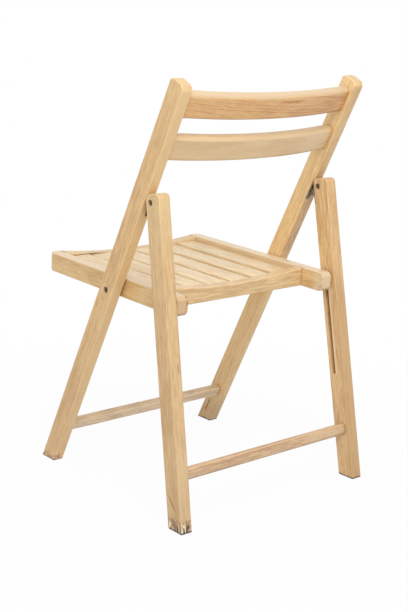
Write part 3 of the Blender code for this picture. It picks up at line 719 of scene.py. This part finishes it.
def shaded_worn_groove(side):
    """A mark for a leg: its groove is painted dark inside as painted shade, and the guide pin has worn the
    rear rim pale.
    """
    half, deep = GROOVE_HALF, GROOVE_DEPTH

    def mark(r, colour):
        up = r.above(rear_place)
        behind = r.behind(rear_place, GROOVE_BEHIND)
        out = r.along((side * LEG_INNER, 0, 0), (side, 0, 0))
        depth = r.scaled(up, LEG_SPLAY / LEG_DROP, out)
        length = r.between(up, GROOVE_LOW - 0.002, GROOVE_LOW, GROOVE_TOP, GROOVE_TOP + 0.002)
        # Painted shade inside the groove.
        inside = r.between(depth, 0.0006, 0.004, deep + 0.0005, deep + 0.001, 0.25)
        walls = r.fade(r.sums("ABSOLUTE", behind), half, half + 0.0004)
        colour = r.mix(r.product(inside, walls, length), colour, (0.25, 0.12, 0.04))
        rim = r.between(behind, half - 0.0002, half + 0.0002, half + 0.003, half + 0.007, 0.6)
        face = r.fade(depth, 0.0003, 0.0006)
        return r.mix(r.product(rim, face, length), colour, (0.95, 0.73, 0.47))

    return mark


leg_timber = {
    "left": beech(
        "left_leg_beech", (0.765, 0.516, 0.254), (0.592, 0.357, 0.152), rings=0.3, streaks=0.85,
        marks=[pale_rear_lit_head, shaded_worn_groove(1), bark_fleck, lifted_sliver, torn_wood, dark_rim(0.7)],
    ),
    "right": beech(
        "right_leg_beech", (0.845, 0.57, 0.277), (0.62, 0.366, 0.150), rings=0.5, streaks=1.05,
        marks=[shaded_front_edge, darker_side_low_shade(0.052, 0.060, (0.58, 0.345, 0.15)), shaded_worn_groove(-1), dark_rim(0.9)],
    ),
}
leg_pith = {"left": (-0.19, 0.045, 3.1), "right": (0.27, 0.030, 5.2)}

for hand, side in HANDS:
    outline = rounded(
        [
            (LEG_FRONT, leg_foot(LEG_FRONT), 0),
            (LEG_REAR, leg_foot(LEG_REAR), 0),
            (LEG_REAR, leg_top(), LEG_TOP_ROUND),
            (LEG_FRONT, leg_top(), LEG_TOP_ROUND),
        ],
        arc_steps=8,
    )
    stick = splayed(across(outline, side * LEG_INNER, side * LEG_OUTER), side)
    inside, outside = side * (LEG_INNER - PAST), side * (LEG_OUTER + PAST)
    groove = rectangle(
        GROOVE_BEHIND - GROOVE_HALF,
        GROOVE_LOW,
        GROOVE_BEHIND + GROOVE_HALF,
        GROOVE_TOP,
        GROOVE_HALF * 0.98,
    )
    cuts = [
        kerf(side),
        bored(0, 0, RIVET_HOLE, inside, outside),
        bored(0, 0, RIVET_RECESS, side * (LEG_OUTER - RECESS_DEPTH), outside),
        bored(0, 0, RIVET_RECESS, inside, side * (LEG_INNER + RECESS_DEPTH)),
        splayed(across(groove, inside, side * (LEG_INNER + GROOVE_DEPTH)), side),
    ]
    if hand == "left":
        cuts += torn_foot()
    timber, pith = leg_timber[hand], leg_pith[hand]
    fit_timber(f"rear_leg_{hand}", stick, rear_place, "rear_frame", timber, "Z", pith, STICK_EASE, cuts)

# Stretchers: two rounded beech bars near the floor that keep the stiles and the legs apart. They
# are tenoned in, and years of shoes have left them greyer than the rest.
FRONT_STRETCHER_HEIGHT = 0.0234
REAR_STRETCHER_HEIGHT = 0.0231
STRETCHER_THICK = 0.016
FRONT_STRETCHER_ROUND = 0.0035
REAR_STRETCHER_ROUND = 0.0065
STRETCHER_BEHIND = 0.0216
FRONT_STRETCHER_U = 0.1004
REAR_STRETCHER_V = leg_foot(LEG_FRONT) + 0.0973
front_half = STILE_INNER - FIT
rear_half = LEG_INNER - LEG_SPLAY * (REAR_STRETCHER_V + REAR_STRETCHER_HEIGHT / 2) / LEG_DROP - FIT

front_timber = beech(
    "front_stretcher_beech", (0.87, 0.68, 0.455), (0.62, 0.452, 0.277),
    rings=0.3, flecks=0.4, soil_and_low_shade=0, marks=[shoulder_lines],
)
rear_timber = beech(
    "rear_stretcher_beech", (0.72, 0.49, 0.285), (0.50, 0.305, 0.165),
    rings=0.6, soil_and_low_shade=0, marks=[dark_ends(rear_half)],
)
front_bar = section(
    STRETCHER_BEHIND,
    FRONT_STRETCHER_U,
    STRETCHER_THICK,
    FRONT_STRETCHER_HEIGHT,
    FRONT_STRETCHER_ROUND,
)
rear_bar = section(
    LEG_FRONT + STRETCHER_BEHIND,
    REAR_STRETCHER_V,
    STRETCHER_THICK,
    REAR_STRETCHER_HEIGHT,
    REAR_STRETCHER_ROUND,
)

for name, bar, half, place, body, timber, pith in (
    ("front_stretcher", front_bar, front_half, back_place, "back_frame", front_timber, (0.04, -0.05, 7.0)),
    ("rear_stretcher", rear_bar, rear_half, rear_place, "rear_frame", rear_timber, (0.03, 0.54, 8.3)),
):
    fit_timber(name, across(bar, -half, half), place, body, timber, "X", pith, flat=0.80)

# Seat side rails: the two outer bars of the seat frame. The front corner is rounded, the rear end
# is rounded above and below, and a guide pin in it runs in the rear leg's groove.
SEAT_SLOPE = math.radians(1.3)
RAIL_OUTER = 0.1986
RAIL_INNER = 0.1741
RAIL_TOP = 0.0238
RAIL_LOW = -0.0143
RAIL_FRONT = -0.2272
RAIL_REAR = 0.1778
RAIL_ROUND = 0.0022
FRONT_CORNER = 0.010
FRONT_LOWER = 0.013
REAR_END = 0.010
seat_place = Matrix.Translation(PIVOT) @ Matrix.Rotation(-SEAT_SLOPE, 4, "X")


def pale_top(r, colour):
    """The rail's top, painted paler."""
    share = r.ease(r.above(seat_place, RAIL_TOP), -0.0025, -0.0006, 0.0, 0.7)
    return r.mix(share, colour, (0.81, 0.65, 0.455))


def tanned_end_shaded_edges(r, colour):
    """The left rail's rear end, tanned by hands, with painted shade in mottled brown along its inner and
    lower edges.
    """
    back = r.behind(seat_place, RAIL_REAR)
    colour = r.mix(r.ease(back, -0.011, -0.006, 0.0, 0.55), colour, (0.66, 0.44, 0.26))
    chip = r.ease(r.figure(220.0, 220.0), 0.42, 0.58)
    edge_shade_colour = r.mix(chip, (0.36, 0.17, 0.065), (0.78, 0.40, 0.15))
    inner = r.fade(r.leftward(RAIL_INNER), 0.0010, 0.0068, 0.9)
    lower = r.fade(r.above(seat_place, RAIL_LOW), 0.0020, 0.0070, 0.7)
    share = r.product(r.ease(back, -0.030, -0.020), r.sums("MAXIMUM", inner, lower))
    return r.mix(share, colour, edge_shade_colour)


def worn_end(r, colour):
    """The right rail's rear end, scuffed white where it knocks against the leg."""
    end = r.ease(r.behind(seat_place, RAIL_REAR), -0.032, -0.010)
    patch = r.ease(r.figure(140.0, 90.0, 3.0, 0.6), 0.38, 0.62, 0.1, 0.75)
    return r.mix(r.product(end, patch), colour, (0.78, 0.645, 0.475))


def lit_inner_wall(r, colour):
    """The right rail's inner wall beside the slats, painted paler as painted light."""
    return r.mix(r.fade(r.behind(seat_place), 0.098, 0.103, 0.5), colour, (0.93, 0.75, 0.50))


side_rail_timber = {
    "left": beech(
        "left_rail_beech", (0.785, 0.53, 0.243), (0.63, 0.39, 0.152),
        rings=0.2, soil_and_low_shade=0, sawn=0.3, marks=[pale_top, tanned_end_shaded_edges],
    ),
    "right": beech(
        "right_rail_beech", (0.83, 0.57, 0.27), (0.62, 0.38, 0.155),
        rings=0.3, soil_and_low_shade=0, sawn=0.2, marks=[lit_inner_wall, pale_top, worn_end],
    ),
}
side_rail_pith = {"left": (0.05, -0.15, 9.0), "right": (-0.03, 0.24, 10.4)}


def end_curve(distance, radius):
    """How far a rounded end stands back from its face at this distance from the end."""
    if distance >= radius:
        return 0.0
    return radius - math.sqrt(radius**2 - (radius - distance) ** 2)


def rail_stations():
    """Places along a side rail, close together where its ends are rounded."""
    steps = 8
    quarter = [1 - math.cos(math.pi / 2 * i / steps) for i in range(steps + 1)]
    front = [RAIL_FRONT + FRONT_CORNER * share for share in quarter]
    rear = [RAIL_REAR - REAR_END * share for share in reversed(quarter)]
    return front + rear


for hand, side in HANDS:
    loops = []
    for y in rail_stations():
        outer = RAIL_OUTER - end_curve(y - RAIL_FRONT, FRONT_CORNER)
        back = end_curve(RAIL_REAR - y, REAR_END)
        low = RAIL_LOW + max(end_curve(y - RAIL_FRONT, FRONT_LOWER), back)
        outline = rectangle(side * RAIL_INNER, low, side * outer, RAIL_TOP - back, RAIL_ROUND)
        loops.append([(x, y, z) for x, z in outline])
    timber, pith = side_rail_timber[hand], side_rail_pith[hand]
    fit_timber(f"seat_rail_{hand}", loft(loops), seat_place, "seat", timber, "Y", pith)

# Seat front and rear rails: two bars dowelled between the side rails. Their upper edges are
# hollowed, so that the seat dips a little in the middle.
CROSS_RAIL_THICK = 0.022
CROSS_RAIL_HALF = RAIL_INNER - FIT
REAR_RAIL_BACK = 0.1206
SEAT_DISH = 0.0115


def lit_wall_shaded_seam(r, colour):
    """The front rail's inner wall, painted pale as painted light, with a painted shadow line along the
    slats on the left.
    """
    wall = RAIL_FRONT + CROSS_RAIL_THICK
    front = r.between(r.behind(seat_place), wall - 0.0012, wall - 0.0004, 0.0, 0.01, 0.75)
    colour = r.mix(front, colour, (0.90, 0.70, 0.43))
    low = r.fade(r.above(seat_place, RAIL_TOP), -0.0078, -0.0066)
    left = r.ease(r.leftward(PIVOT.x), 0.05, 0.09)
    return r.mix(r.product(front, left, low), colour, (0.13, 0.075, 0.035))


seat_timber = beech(
    "seat_frame_beech", (0.81, 0.575, 0.302), (0.63, 0.41, 0.193),
    rings=0.2, soil_and_low_shade=0, marks=[dark_ends(RAIL_INNER), lit_wall_shaded_seam],
)

for which, near, pith in (
    ("front", RAIL_FRONT, (0.19, 0.05, 11.7)),
    ("rear", REAR_RAIL_BACK - CROSS_RAIL_THICK, (-0.06, 0.045, 12.9)),
):
    loops = []
    for x in spread(CROSS_RAIL_HALF):
        top = RAIL_TOP - SEAT_DISH * (1 - (x / CROSS_RAIL_HALF) ** 2)
        outline = rectangle(near, RAIL_LOW, near + CROSS_RAIL_THICK, top, RAIL_ROUND)
        loops.append([(x, *point) for point in outline])
    fit_timber(f"seat_rail_{which}", loft(loops), seat_place, "seat", seat_timber, "X", pith)

# Seat slats: six thin beech boards from front to back, tongued into the cross rails with an even
# gap between them. They follow the hollow of the rails in steps, and differ a little in figure.
SLAT_COUNT = 6
SLAT_GAP = 0.008
SLAT_THICK = 0.012
SLAT_ROUND = 0.0022
SLAT_WIDTH = (2 * RAIL_INNER - (SLAT_COUNT + 1) * SLAT_GAP) / SLAT_COUNT
SLAT_FRONT = RAIL_FRONT + CROSS_RAIL_THICK + FIT
SLAT_REAR = REAR_RAIL_BACK - CROSS_RAIL_THICK - FIT
SLAT_TOP_AT_SIDES = RAIL_TOP - 0.007
SLAT_TOP_IN_MIDDLE = RAIL_TOP - 0.0122
SLAT_SEED = 4


class Tree(Wiring):
    """A geometry node tree with a named input for each of its sizes and its finish."""

    kinds = {int: "Int", float: "Float", bpy.types.Material: "Material"}

    def __init__(self, name, sizes):
        super().__init__(bpy.data.node_groups.new(name, "GeometryNodeTree"))
        self.sizes = sizes
        face = self.tree.interface
        face.new_socket("Geometry", in_out="INPUT", socket_type="NodeSocketGeometry")
        for key, value in sizes.items():
            face.new_socket(key, in_out="INPUT", socket_type=f"NodeSocket{self.kinds[type(value)]}")
        face.new_socket("Geometry", in_out="OUTPUT", socket_type="NodeSocketGeometry")
        self.given = self.tree.nodes.new("NodeGroupInput").outputs

    def point(self, x=0.0, y=0.0, z=0.0):
        return self.add("ShaderNodeCombineXYZ", {0: x, 1: y, 2: z})

    def raised(self, shape, z):
        return self.add("GeometryNodeTransform", {"Geometry": shape, "Translation": self.point(z=z)})

    def noted(self, shape, name, value, kind, domain):
        """The shape with a value kept on it under a name."""
        inputs = {"Geometry": shape, "Name": name, "Value": value}
        return self.add("GeometryNodeStoreNamedAttribute", inputs, data_type=kind, domain=domain)

    def finish(self, shape):
        """Ends the tree with one real mesh in the finish that it was given."""
        shape = self.add("GeometryNodeRealizeInstances", {0: shape})
        shape = self.add("GeometryNodeSetMaterial", {"Geometry": shape, "Material": self.given["Finish"]})
        self.feed(self.tree.nodes.new("NodeGroupOutput").inputs[0], shape)

    def grown(self, name, start, sharp):
        """A plain mesh that the tree grows on a starting mesh, with its faces turned outwards."""
        obj = linked(name, start)
        modifier = obj.modifiers.new("grown", "NODES")
        modifier.node_group = self.tree
        for item in self.tree.interface.items_tree:
            if item.in_out == "INPUT" and item.name in self.sizes:
                modifier[item.identifier] = self.sizes[item.name]
        mesh = taken(obj)
        bm = bmesh.new()
        bm.from_mesh(mesh)
        bmesh.ops.recalc_face_normals(bm, faces=bm.faces)
        bm.to_mesh(mesh)
        bm.free()
        crisp(mesh, sharp)
        return mesh


slat_timber = beech("slat_beech", (0.875, 0.68, 0.41), (0.715, 0.50, 0.25), rings=0.4, soil_and_low_shade=0)
slat_tree = Tree(
    "slats",
    {
        "Count": SLAT_COUNT,
        "Width": SLAT_WIDTH,
        "Gap": SLAT_GAP,
        "Thickness": SLAT_THICK,
        "Edge Round": SLAT_ROUND,
        "Front": SLAT_FRONT,
        "Rear": SLAT_REAR,
        "Top At Sides": SLAT_TOP_AT_SIDES,
        "Top In Middle": SLAT_TOP_IN_MIDDLE,
        "Half Seat": RAIL_INNER,
        "Finish": slat_timber,
    },
)


def one_slat(t):
    """One rounded section, swept from front to rear."""
    outline = t.add(
        "GeometryNodeCurvePrimitiveQuadrilateral",
        {"Width": t.given["Width"], "Height": t.given["Thickness"]},
    )
    outline = t.add(
        "GeometryNodeFilletCurve",
        {"Curve": outline, "Radius": t.given["Edge Round"], "Count": 5},
        mode="POLY",
    )
    way = t.add(
        "GeometryNodeCurvePrimitiveLine",
        {"Start": t.point(y=t.given["Front"]), "End": t.point(y=t.given["Rear"])},
    )
    return t.add("GeometryNodeCurveToMesh", {"Curve": way, "Profile Curve": outline, "Fill Caps": True})


def grow_slats(t):
    """Sets copies of one slat out across the seat, each cut from another place in the log."""
    given = t.given
    place = t.add("GeometryNodeInputPosition", {})
    pitch = t.sums("ADD", given["Width"], given["Gap"])
    first = t.sums("MULTIPLY", t.sums("SUBTRACT", given["Count"], 1.0), -0.5)
    row = t.add(
        "GeometryNodeMeshLine",
        {
            "Count": given["Count"],
            "Start Location": t.point(x=t.sums("MULTIPLY", first, pitch)),
            "Offset": t.point(x=pitch),
        },
    )
    x = t.add("ShaderNodeSeparateXYZ", {0: place})
    share = t.sums("POWER", t.sums("DIVIDE", x, given["Half Seat"]), 2.0)
    rise = t.sums("SUBTRACT", given["Top At Sides"], given["Top In Middle"])
    top = t.sums("ADD", given["Top In Middle"], t.sums("MULTIPLY", rise, share))
    middle = t.sums("SUBTRACT", top, t.sums("MULTIPLY", given["Thickness"], 0.5))
    row = t.add("GeometryNodeSetPosition", {"Geometry": row, "Offset": t.point(z=middle)})
    slats = t.add("GeometryNodeInstanceOnPoints", {"Points": row, "Instance": one_slat(t)})
    slats = t.noted(slats, "board", t.add("GeometryNodeInputIndex", {}), "FLOAT", "INSTANCE")
    slats = t.add("GeometryNodeRealizeInstances", {0: slats})
    board = t.add("GeometryNodeInputNamedAttribute", {"Name": "board"}, data_type="FLOAT")
    number = t.add("FunctionNodeFloatToInt", {0: board})
    chance = t.add(
        "FunctionNodeRandomValue", {"ID": number, "Seed": SLAT_SEED}, data_type="FLOAT_VECTOR"
    )
    shift = t.vectors("MULTIPLY", chance, (0.12, 0.05, 3.0))
    across_seat, along, up = x.node.outputs
    grain = t.vectors("ADD", t.point(up, across_seat, along), shift)
    t.finish(t.noted(slats, "grain", grain, "FLOAT_VECTOR", "POINT"))


grow_slats(slat_tree)
mesh = slat_tree.grown("slats", bpy.data.meshes.new("slat_start"), sharp=38)
slat_nodes = [f"seat_slat_{i + 1}" for i in range(SLAT_COUNT)]
fit_piece("slats_timber", mesh, seat_place, "seat", slat_nodes, slat_timber)

# Hinge brackets: a steel angle on each stile. Its 2.5 mm flange is let in flush and screwed, and its
# 3 mm plate stands in the leg's kerf with a round nose about the rivet. Bare mill steel gone dull.
FLANGE_INNER = 0.2029
PLATE_NOSE = 0.009
NOSE_SWEEP = math.radians(135)
NOSE_STEPS = 16
EYE = 0.00275
BRACKET_EASE = 0.0004


def dull_steel(name, colour, rough, metallic=1.0):
    """Steel with cloudy tarnish and fine scuffs."""
    r = Recipe(name)
    cloud = r.noise(r.place, 210.0, 4.0, 0.65)
    scuff = r.noise(r.vectors("MULTIPLY", r.place, (900.0, 2600.0, 900.0)), 1.0)
    light = tuple(min(1.0, 1.7 * c) for c in colour)
    dark = tuple(0.55 * c for c in colour)
    tarnish = r.mix(r.ease(cloud, 0.35, 0.68), dark, colour)
    r.into("Base Color", r.mix(r.ease(scuff, 0.60, 0.80), tarnish, light))
    r.into("Roughness", r.ease(cloud, 0.3, 0.7, rough + 0.12, rough - 0.08))
    r.into("Normal", r.bump(scuff, 0.15, 0.0001))
    r.into("Metallic", metallic)
    return r.material


bracket_steel = {
    # The left bracket's steel is painted darker and browner than the right's, as painted shade between
    # stile and leg.
    "left": dull_steel("left_bracket_steel", (0.16, 0.11, 0.07), 0.55, 0.7),
    "right": dull_steel("right_bracket_steel", (0.33, 0.30, 0.24), 0.50, 0.85),
}

for hand, side in HANDS:
    root = STILE_WIDTH - FLANGE_THICK
    low, high = hinge_u - FLANGE_BELOW, hinge_u + FLANGE_ABOVE
    flange = rectangle(root, low, STILE_WIDTH, high)
    plate = [Vector((root, low)), Vector((root, high))]
    for step in range(NOSE_STEPS + 1):
        angle = math.pi / 2 - NOSE_SWEEP * step / NOSE_STEPS
        spoke = PLATE_NOSE * Vector((math.cos(angle), math.sin(angle)))
        plate.append(Vector((hinge_n, hinge_u)) + spoke)
    name = f"hinge_bracket_{hand}"
    obj = work_object(across(flange, side * FLANGE_INNER, side * PLATE_OUTER), name)
    tongue = work_object(across(plate, side * PLATE_INNER, side * PLATE_OUTER), "tongue")
    near, far = side * (PLATE_INNER - PAST), side * (PLATE_OUTER + PAST)
    eye = work_object(bored(hinge_n, hinge_u, EYE, near, far), "eye")
    for tool, operation in ((tongue, "UNION"), (eye, "DIFFERENCE")):
        boolean = obj.modifiers.new(operation, "BOOLEAN")
        boolean.object = tool
        boolean.operation = operation
    bevel = obj.modifiers.new("dulled edges", "BEVEL")
    bevel.width = BRACKET_EASE
    bevel.segments = 2
    bevel.limit_method = "ANGLE"
    mesh = taken(obj)
    for tool in (tongue, eye):
        bpy.data.objects.remove(tool)
    crisp(mesh)
    fit_piece(f"{name}_steel", mesh, back_place, "back_frame", [name], bracket_steel[hand])

# Fasteners: the countersunk screws in the bracket flanges, the hinge rivets with a head on either
# side of the leg, and the seat's bolts with a hexagon socket, all turned from dark plated steel.
SCREW_FROM_END = 0.008
RIVET_HEAD = 0.0028
BOLT_HEAD = 0.0038
HEAD_OVERLAP = 0.00002
SHANK_OVERLAP = 0.0005
fastener_steel = dull_steel("fastener_steel", (0.16, 0.145, 0.10), 0.40, 0.9)


def fastener(name, sizes):
    """A tree that sets one kind of fastener out on points, each facing along its own direction."""
    t = Tree(name, {**sizes, "Finish": fastener_steel})
    given = t.given

    def cone(low_radius, high_radius, tall, base):
        shape = t.add(
            "GeometryNodeMeshCone",
            {"Vertices": 28, "Radius Top": high_radius, "Radius Bottom": low_radius, "Depth": tall},
        )
        return t.raised(shape, base)

    upper, lower = given["Upper Depth"], given["Lower Depth"]
    upper_base = t.sums("SUBTRACT", -HEAD_OVERLAP, upper)
    upper_tall = t.sums("ADD", upper, HEAD_OVERLAP)
    crown = cone(given["Rim Radius"], given["Crown Radius"], upper_tall, upper_base)
    lower_base = t.sums("SUBTRACT", -HEAD_OVERLAP, t.sums("ADD", lower, upper))
    lower_tall = t.sums("ADD", lower, 2 * HEAD_OVERLAP)
    rim = cone(given["Foot Radius"], given["Rim Radius"], lower_tall, lower_base)
    shank_base = t.sums("SUBTRACT", lower_base, given["Shank Length"])
    shank_tall = t.sums("ADD", given["Shank Length"], SHANK_OVERLAP)
    shank = cone(given["Shank Radius"], given["Shank Radius"], shank_tall, shank_base)
    head = t.add("GeometryNodeMeshBoolean", {1: [crown, rim, shank]}, operation="UNION")

    star = {
        "Points": given["Recess Points"],
        "Inner Radius": given["Recess Inner"],
        "Outer Radius": given["Recess Radius"],
    }
    drive = t.add("GeometryNodeFillCurve", {0: t.add("GeometryNodeCurveStar", star)})
    drive = t.raised(drive, given["Recess Depth"])
    down = t.point(z=t.sums("MULTIPLY", given["Recess Depth"], -2.0))
    walls = t.add("GeometryNodeExtrudeMesh", {"Mesh": drive, "Offset": down, "Individual": False})
    drive = t.add("GeometryNodeJoinGeometry", {0: [walls, drive]})
    drive = t.add("GeometryNodeMergeByDistance", {"Geometry": drive, "Distance": 0.00001})
    head = t.add("GeometryNodeMeshBoolean", {0: head, 1: drive}, operation="DIFFERENCE")

    facing = t.add("GeometryNodeInputNamedAttribute", {"Name": "facing"}, data_type="FLOAT_VECTOR")
    turn = t.add("FunctionNodeAlignRotationToVector", {"Vector": facing}, axis="Z")
    points = t.add("GeometryNodeMeshToPoints", {"Mesh": given["Geometry"]})
    heads = {"Points": points, "Instance": head, "Rotation": turn}
    t.finish(t.add("GeometryNodeInstanceOnPoints", heads))
    return t


def spots(places):
    """Bare points with a direction each, for fasteners to grow on."""
    mesh = bpy.data.meshes.new("spots")
    mesh.from_pydata([point for point, _ in places], [], [])
    facing = mesh.attributes.new("facing", "FLOAT_VECTOR", "POINT")
    for value, (_, direction) in zip(facing.data, places):
        value.vector = direction
    return mesh


def set_fasteners(name, tree, places, place, body, nodes):
    mesh = tree.grown(name, spots(places), sharp=30)
    fit_piece(name, mesh, place, body, nodes, fastener_steel)


screw_tree = fastener(
    "countersunk_screw",
    {
        "Foot Radius": 0.0014,
        "Rim Radius": 0.0025,
        "Crown Radius": 0.0024,
        "Lower Depth": 0.0011,
        "Upper Depth": 0.0001,
        "Shank Radius": 0.0013,
        "Shank Length": 0.0140,
        "Recess Points": 4,
        "Recess Radius": 0.0013,
        "Recess Inner": 0.0004,
        "Recess Depth": 0.0009,
    },
)
screw_x = (FLANGE_INNER + PLATE_INNER) / 2
screw_ends = (hinge_u + FLANGE_ABOVE - SCREW_FROM_END, hinge_u - FLANGE_BELOW + SCREW_FROM_END)
screw_spots = [((side * screw_x, STILE_WIDTH - FIT, u), (0, 1, 0)) for _, side in HANDS for u in screw_ends]
screw_nodes = [f"bracket_screw_{hand}_{end}" for hand, _ in HANDS for end in ("upper", "lower")]
set_fasteners("bracket_screws_steel", screw_tree, screw_spots, back_place, "back_frame", screw_nodes)

rivet_tree = fastener(
    "hinge_rivet",
    {
        "Foot Radius": 0.0050,
        "Rim Radius": 0.0050,
        "Crown Radius": 0.0036,
        "Lower Depth": 0.0012,
        "Upper Depth": 0.0013,
        "Shank Radius": 0.0025,
        "Shank Length": 0.0078,
        "Recess Points": 9,
        "Recess Radius": 0.0018,
        "Recess Inner": 0.0018,
        "Recess Depth": 0.0010,
    },
)
rivet_ends = ((LEG_OUTER - RECESS_DEPTH + RIVET_HEAD, 1), (LEG_INNER + RECESS_DEPTH - RIVET_HEAD, -1))
rivet_spots = [((side * x, 0, 0), (side * facing, 0, 0)) for _, side in HANDS for x, facing in rivet_ends]
rivet_nodes = [f"hinge_rivet_{hand}" for hand, _ in HANDS]
set_fasteners("hinge_rivets_steel", rivet_tree, rivet_spots, rear_place, "rear_frame", rivet_nodes)

bolt_tree = fastener(
    "pivot_bolt",
    {
        "Foot Radius": 0.0055,
        "Rim Radius": 0.0055,
        "Crown Radius": 0.0049,
        "Lower Depth": 0.0029,
        "Upper Depth": 0.0006,
        "Shank Radius": 0.0030,
        "Shank Length": 0.0345,
        "Recess Points": 3,
        "Recess Radius": 0.0024,
        "Recess Inner": 0.0024,
        "Recess Depth": 0.0022,
    },
)
bolt_x = STILE_OUTER - RECESS_DEPTH + BOLT_HEAD
bolt_spots = [((side * bolt_x, 0, 0), (side, 0, 0)) for _, side in HANDS]
bolt_nodes = [f"pivot_bolt_{hand}" for hand, _ in HANDS]
set_fasteners("pivot_bolts_steel", bolt_tree, bolt_spots, seat_place, "seat", bolt_nodes)

# Pieces inside the joints: zinc washers, insert nuts and guide pins, and the beech dowels of the
# seat frame. Their solids already have the right shape, so they only take their finish.
zinc = dull_steel("bright_zinc", (0.42, 0.42, 0.40), 0.36)
dowel_timber = beech("dowel_beech", STILE_PALE, STILE_DEEP, soil_and_low_shade=0)
inner_finishes = {"pivot_washer": zinc, "insert_nut": zinc, "guide_pin": zinc, "seat_dowel": dowel_timber}
for name, solid in frame["nodes"].items():
    for start, finish in inner_finishes.items():
        if name.startswith(start):
            solid.data.materials.clear()
            solid.data.materials.append(finish)

# Studio: a white floor that runs out of sight, an even white sky and one broad soft lamp overhead.
# The camera stands behind the chair on the sitter's left, at the height of its back.
FLOOR_SIZE = 40.0
FLOOR_SHADOW = 0.05
CLEAR_FROM = 0.3
CLEAR_BY = 1.1
SKY_LIGHT = 0.77
WHITE = (1.0, 1.0, 1.0, 1.0)


def seen_rays(wires):
    """One for rays that show the background: from the camera, in a reflection or through glass."""
    rays = wires.add("ShaderNodeLightPath", {}).node.outputs
    seen = wires.sums("MAXIMUM", rays["Is Camera Ray"], rays["Is Glossy Ray"])
    return wires.sums("MAXIMUM", seen, rays["Is Transmission Ray"])


bm = bmesh.new()
bmesh.ops.create_grid(bm, x_segments=1, y_segments=1, size=FLOOR_SIZE / 2)
floor = work_object(bm, "floor")
paint = Recipe("white_floor")
paint.into("Base Color", (0.80, 0.80, 0.80, 1.0))
paint.into("Roughness", 0.9)
paint.into("Specular IOR Level", 0.1)
away = paint.vectors("LENGTH", paint.place, out=1)
clear = paint.ease(away, CLEAR_FROM, CLEAR_BY, 1 - FLOOR_SHADOW, 1.0)
clear = paint.product(clear, seen_rays(paint))
white = paint.add("ShaderNodeEmission", {"Color": WHITE, "Strength": 1.0})
blend = paint.add("ShaderNodeMixShader", {0: clear, 1: paint.shader.outputs[0], 2: white})
paint.feed(paint.tree.nodes["Material Output"].inputs["Surface"], blend)
floor.data.materials.append(paint.material)

world = bpy.data.worlds.new("white_sky")
scene.world = world
world.use_nodes = True
sky = Wiring(world.node_tree)
background = sky.tree.nodes["Background"].inputs
sky.feed(background["Color"], WHITE)
strength = sky.add("ShaderNodeMapRange", {0: seen_rays(sky), 3: SKY_LIGHT, 4: 1.0})
sky.feed(background["Strength"], strength)

LAMP_PLACE = Vector((0.72, 1.12, 1.98))
LAMP_AIM = Vector((0, 0, 0.5))
lamp = linked("key", bpy.data.lights.new("key", "AREA"))
lamp.location = LAMP_PLACE
lamp.rotation_euler = (LAMP_AIM - LAMP_PLACE).to_track_quat("-Z", "Y").to_euler()
lamp.data.shape = "DISK"
lamp.data.size = 1.2
lamp.data.energy = 18.5

AZIMUTH = math.radians(139.795)
ELEVATION = math.radians(14.358)
ROLL = math.radians(2.105)
DISTANCE = 2.3647
AIM = Vector((0.0552, front_foot_y + 0.2067, 0.3427))
FOCAL_PIXELS = 1195.33
AXIS_LEFT_OF_MIDDLE = 30.1
FRAME_PIXELS = 612
SENSOR = 36.0
towards_camera = Vector(
    (
        math.sin(AZIMUTH) * math.cos(ELEVATION),
        -math.cos(AZIMUTH) * math.cos(ELEVATION),
        math.sin(ELEVATION),
    )
)
camera = linked("camera", bpy.data.cameras.new("camera"))
camera.location = AIM + DISTANCE * towards_camera
level = (-towards_camera).to_track_quat("-Z", "Y").to_matrix()
camera.rotation_euler = (level @ Matrix.Rotation(ROLL, 3, "Z")).to_euler()
camera.data.sensor_width = SENSOR
camera.data.lens = FOCAL_PIXELS * SENSOR / FRAME_PIXELS
camera.data.shift_x = AXIS_LEFT_OF_MIDDLE / FRAME_PIXELS
scene.camera = camera
scene.view_settings.view_transform = "Standard"
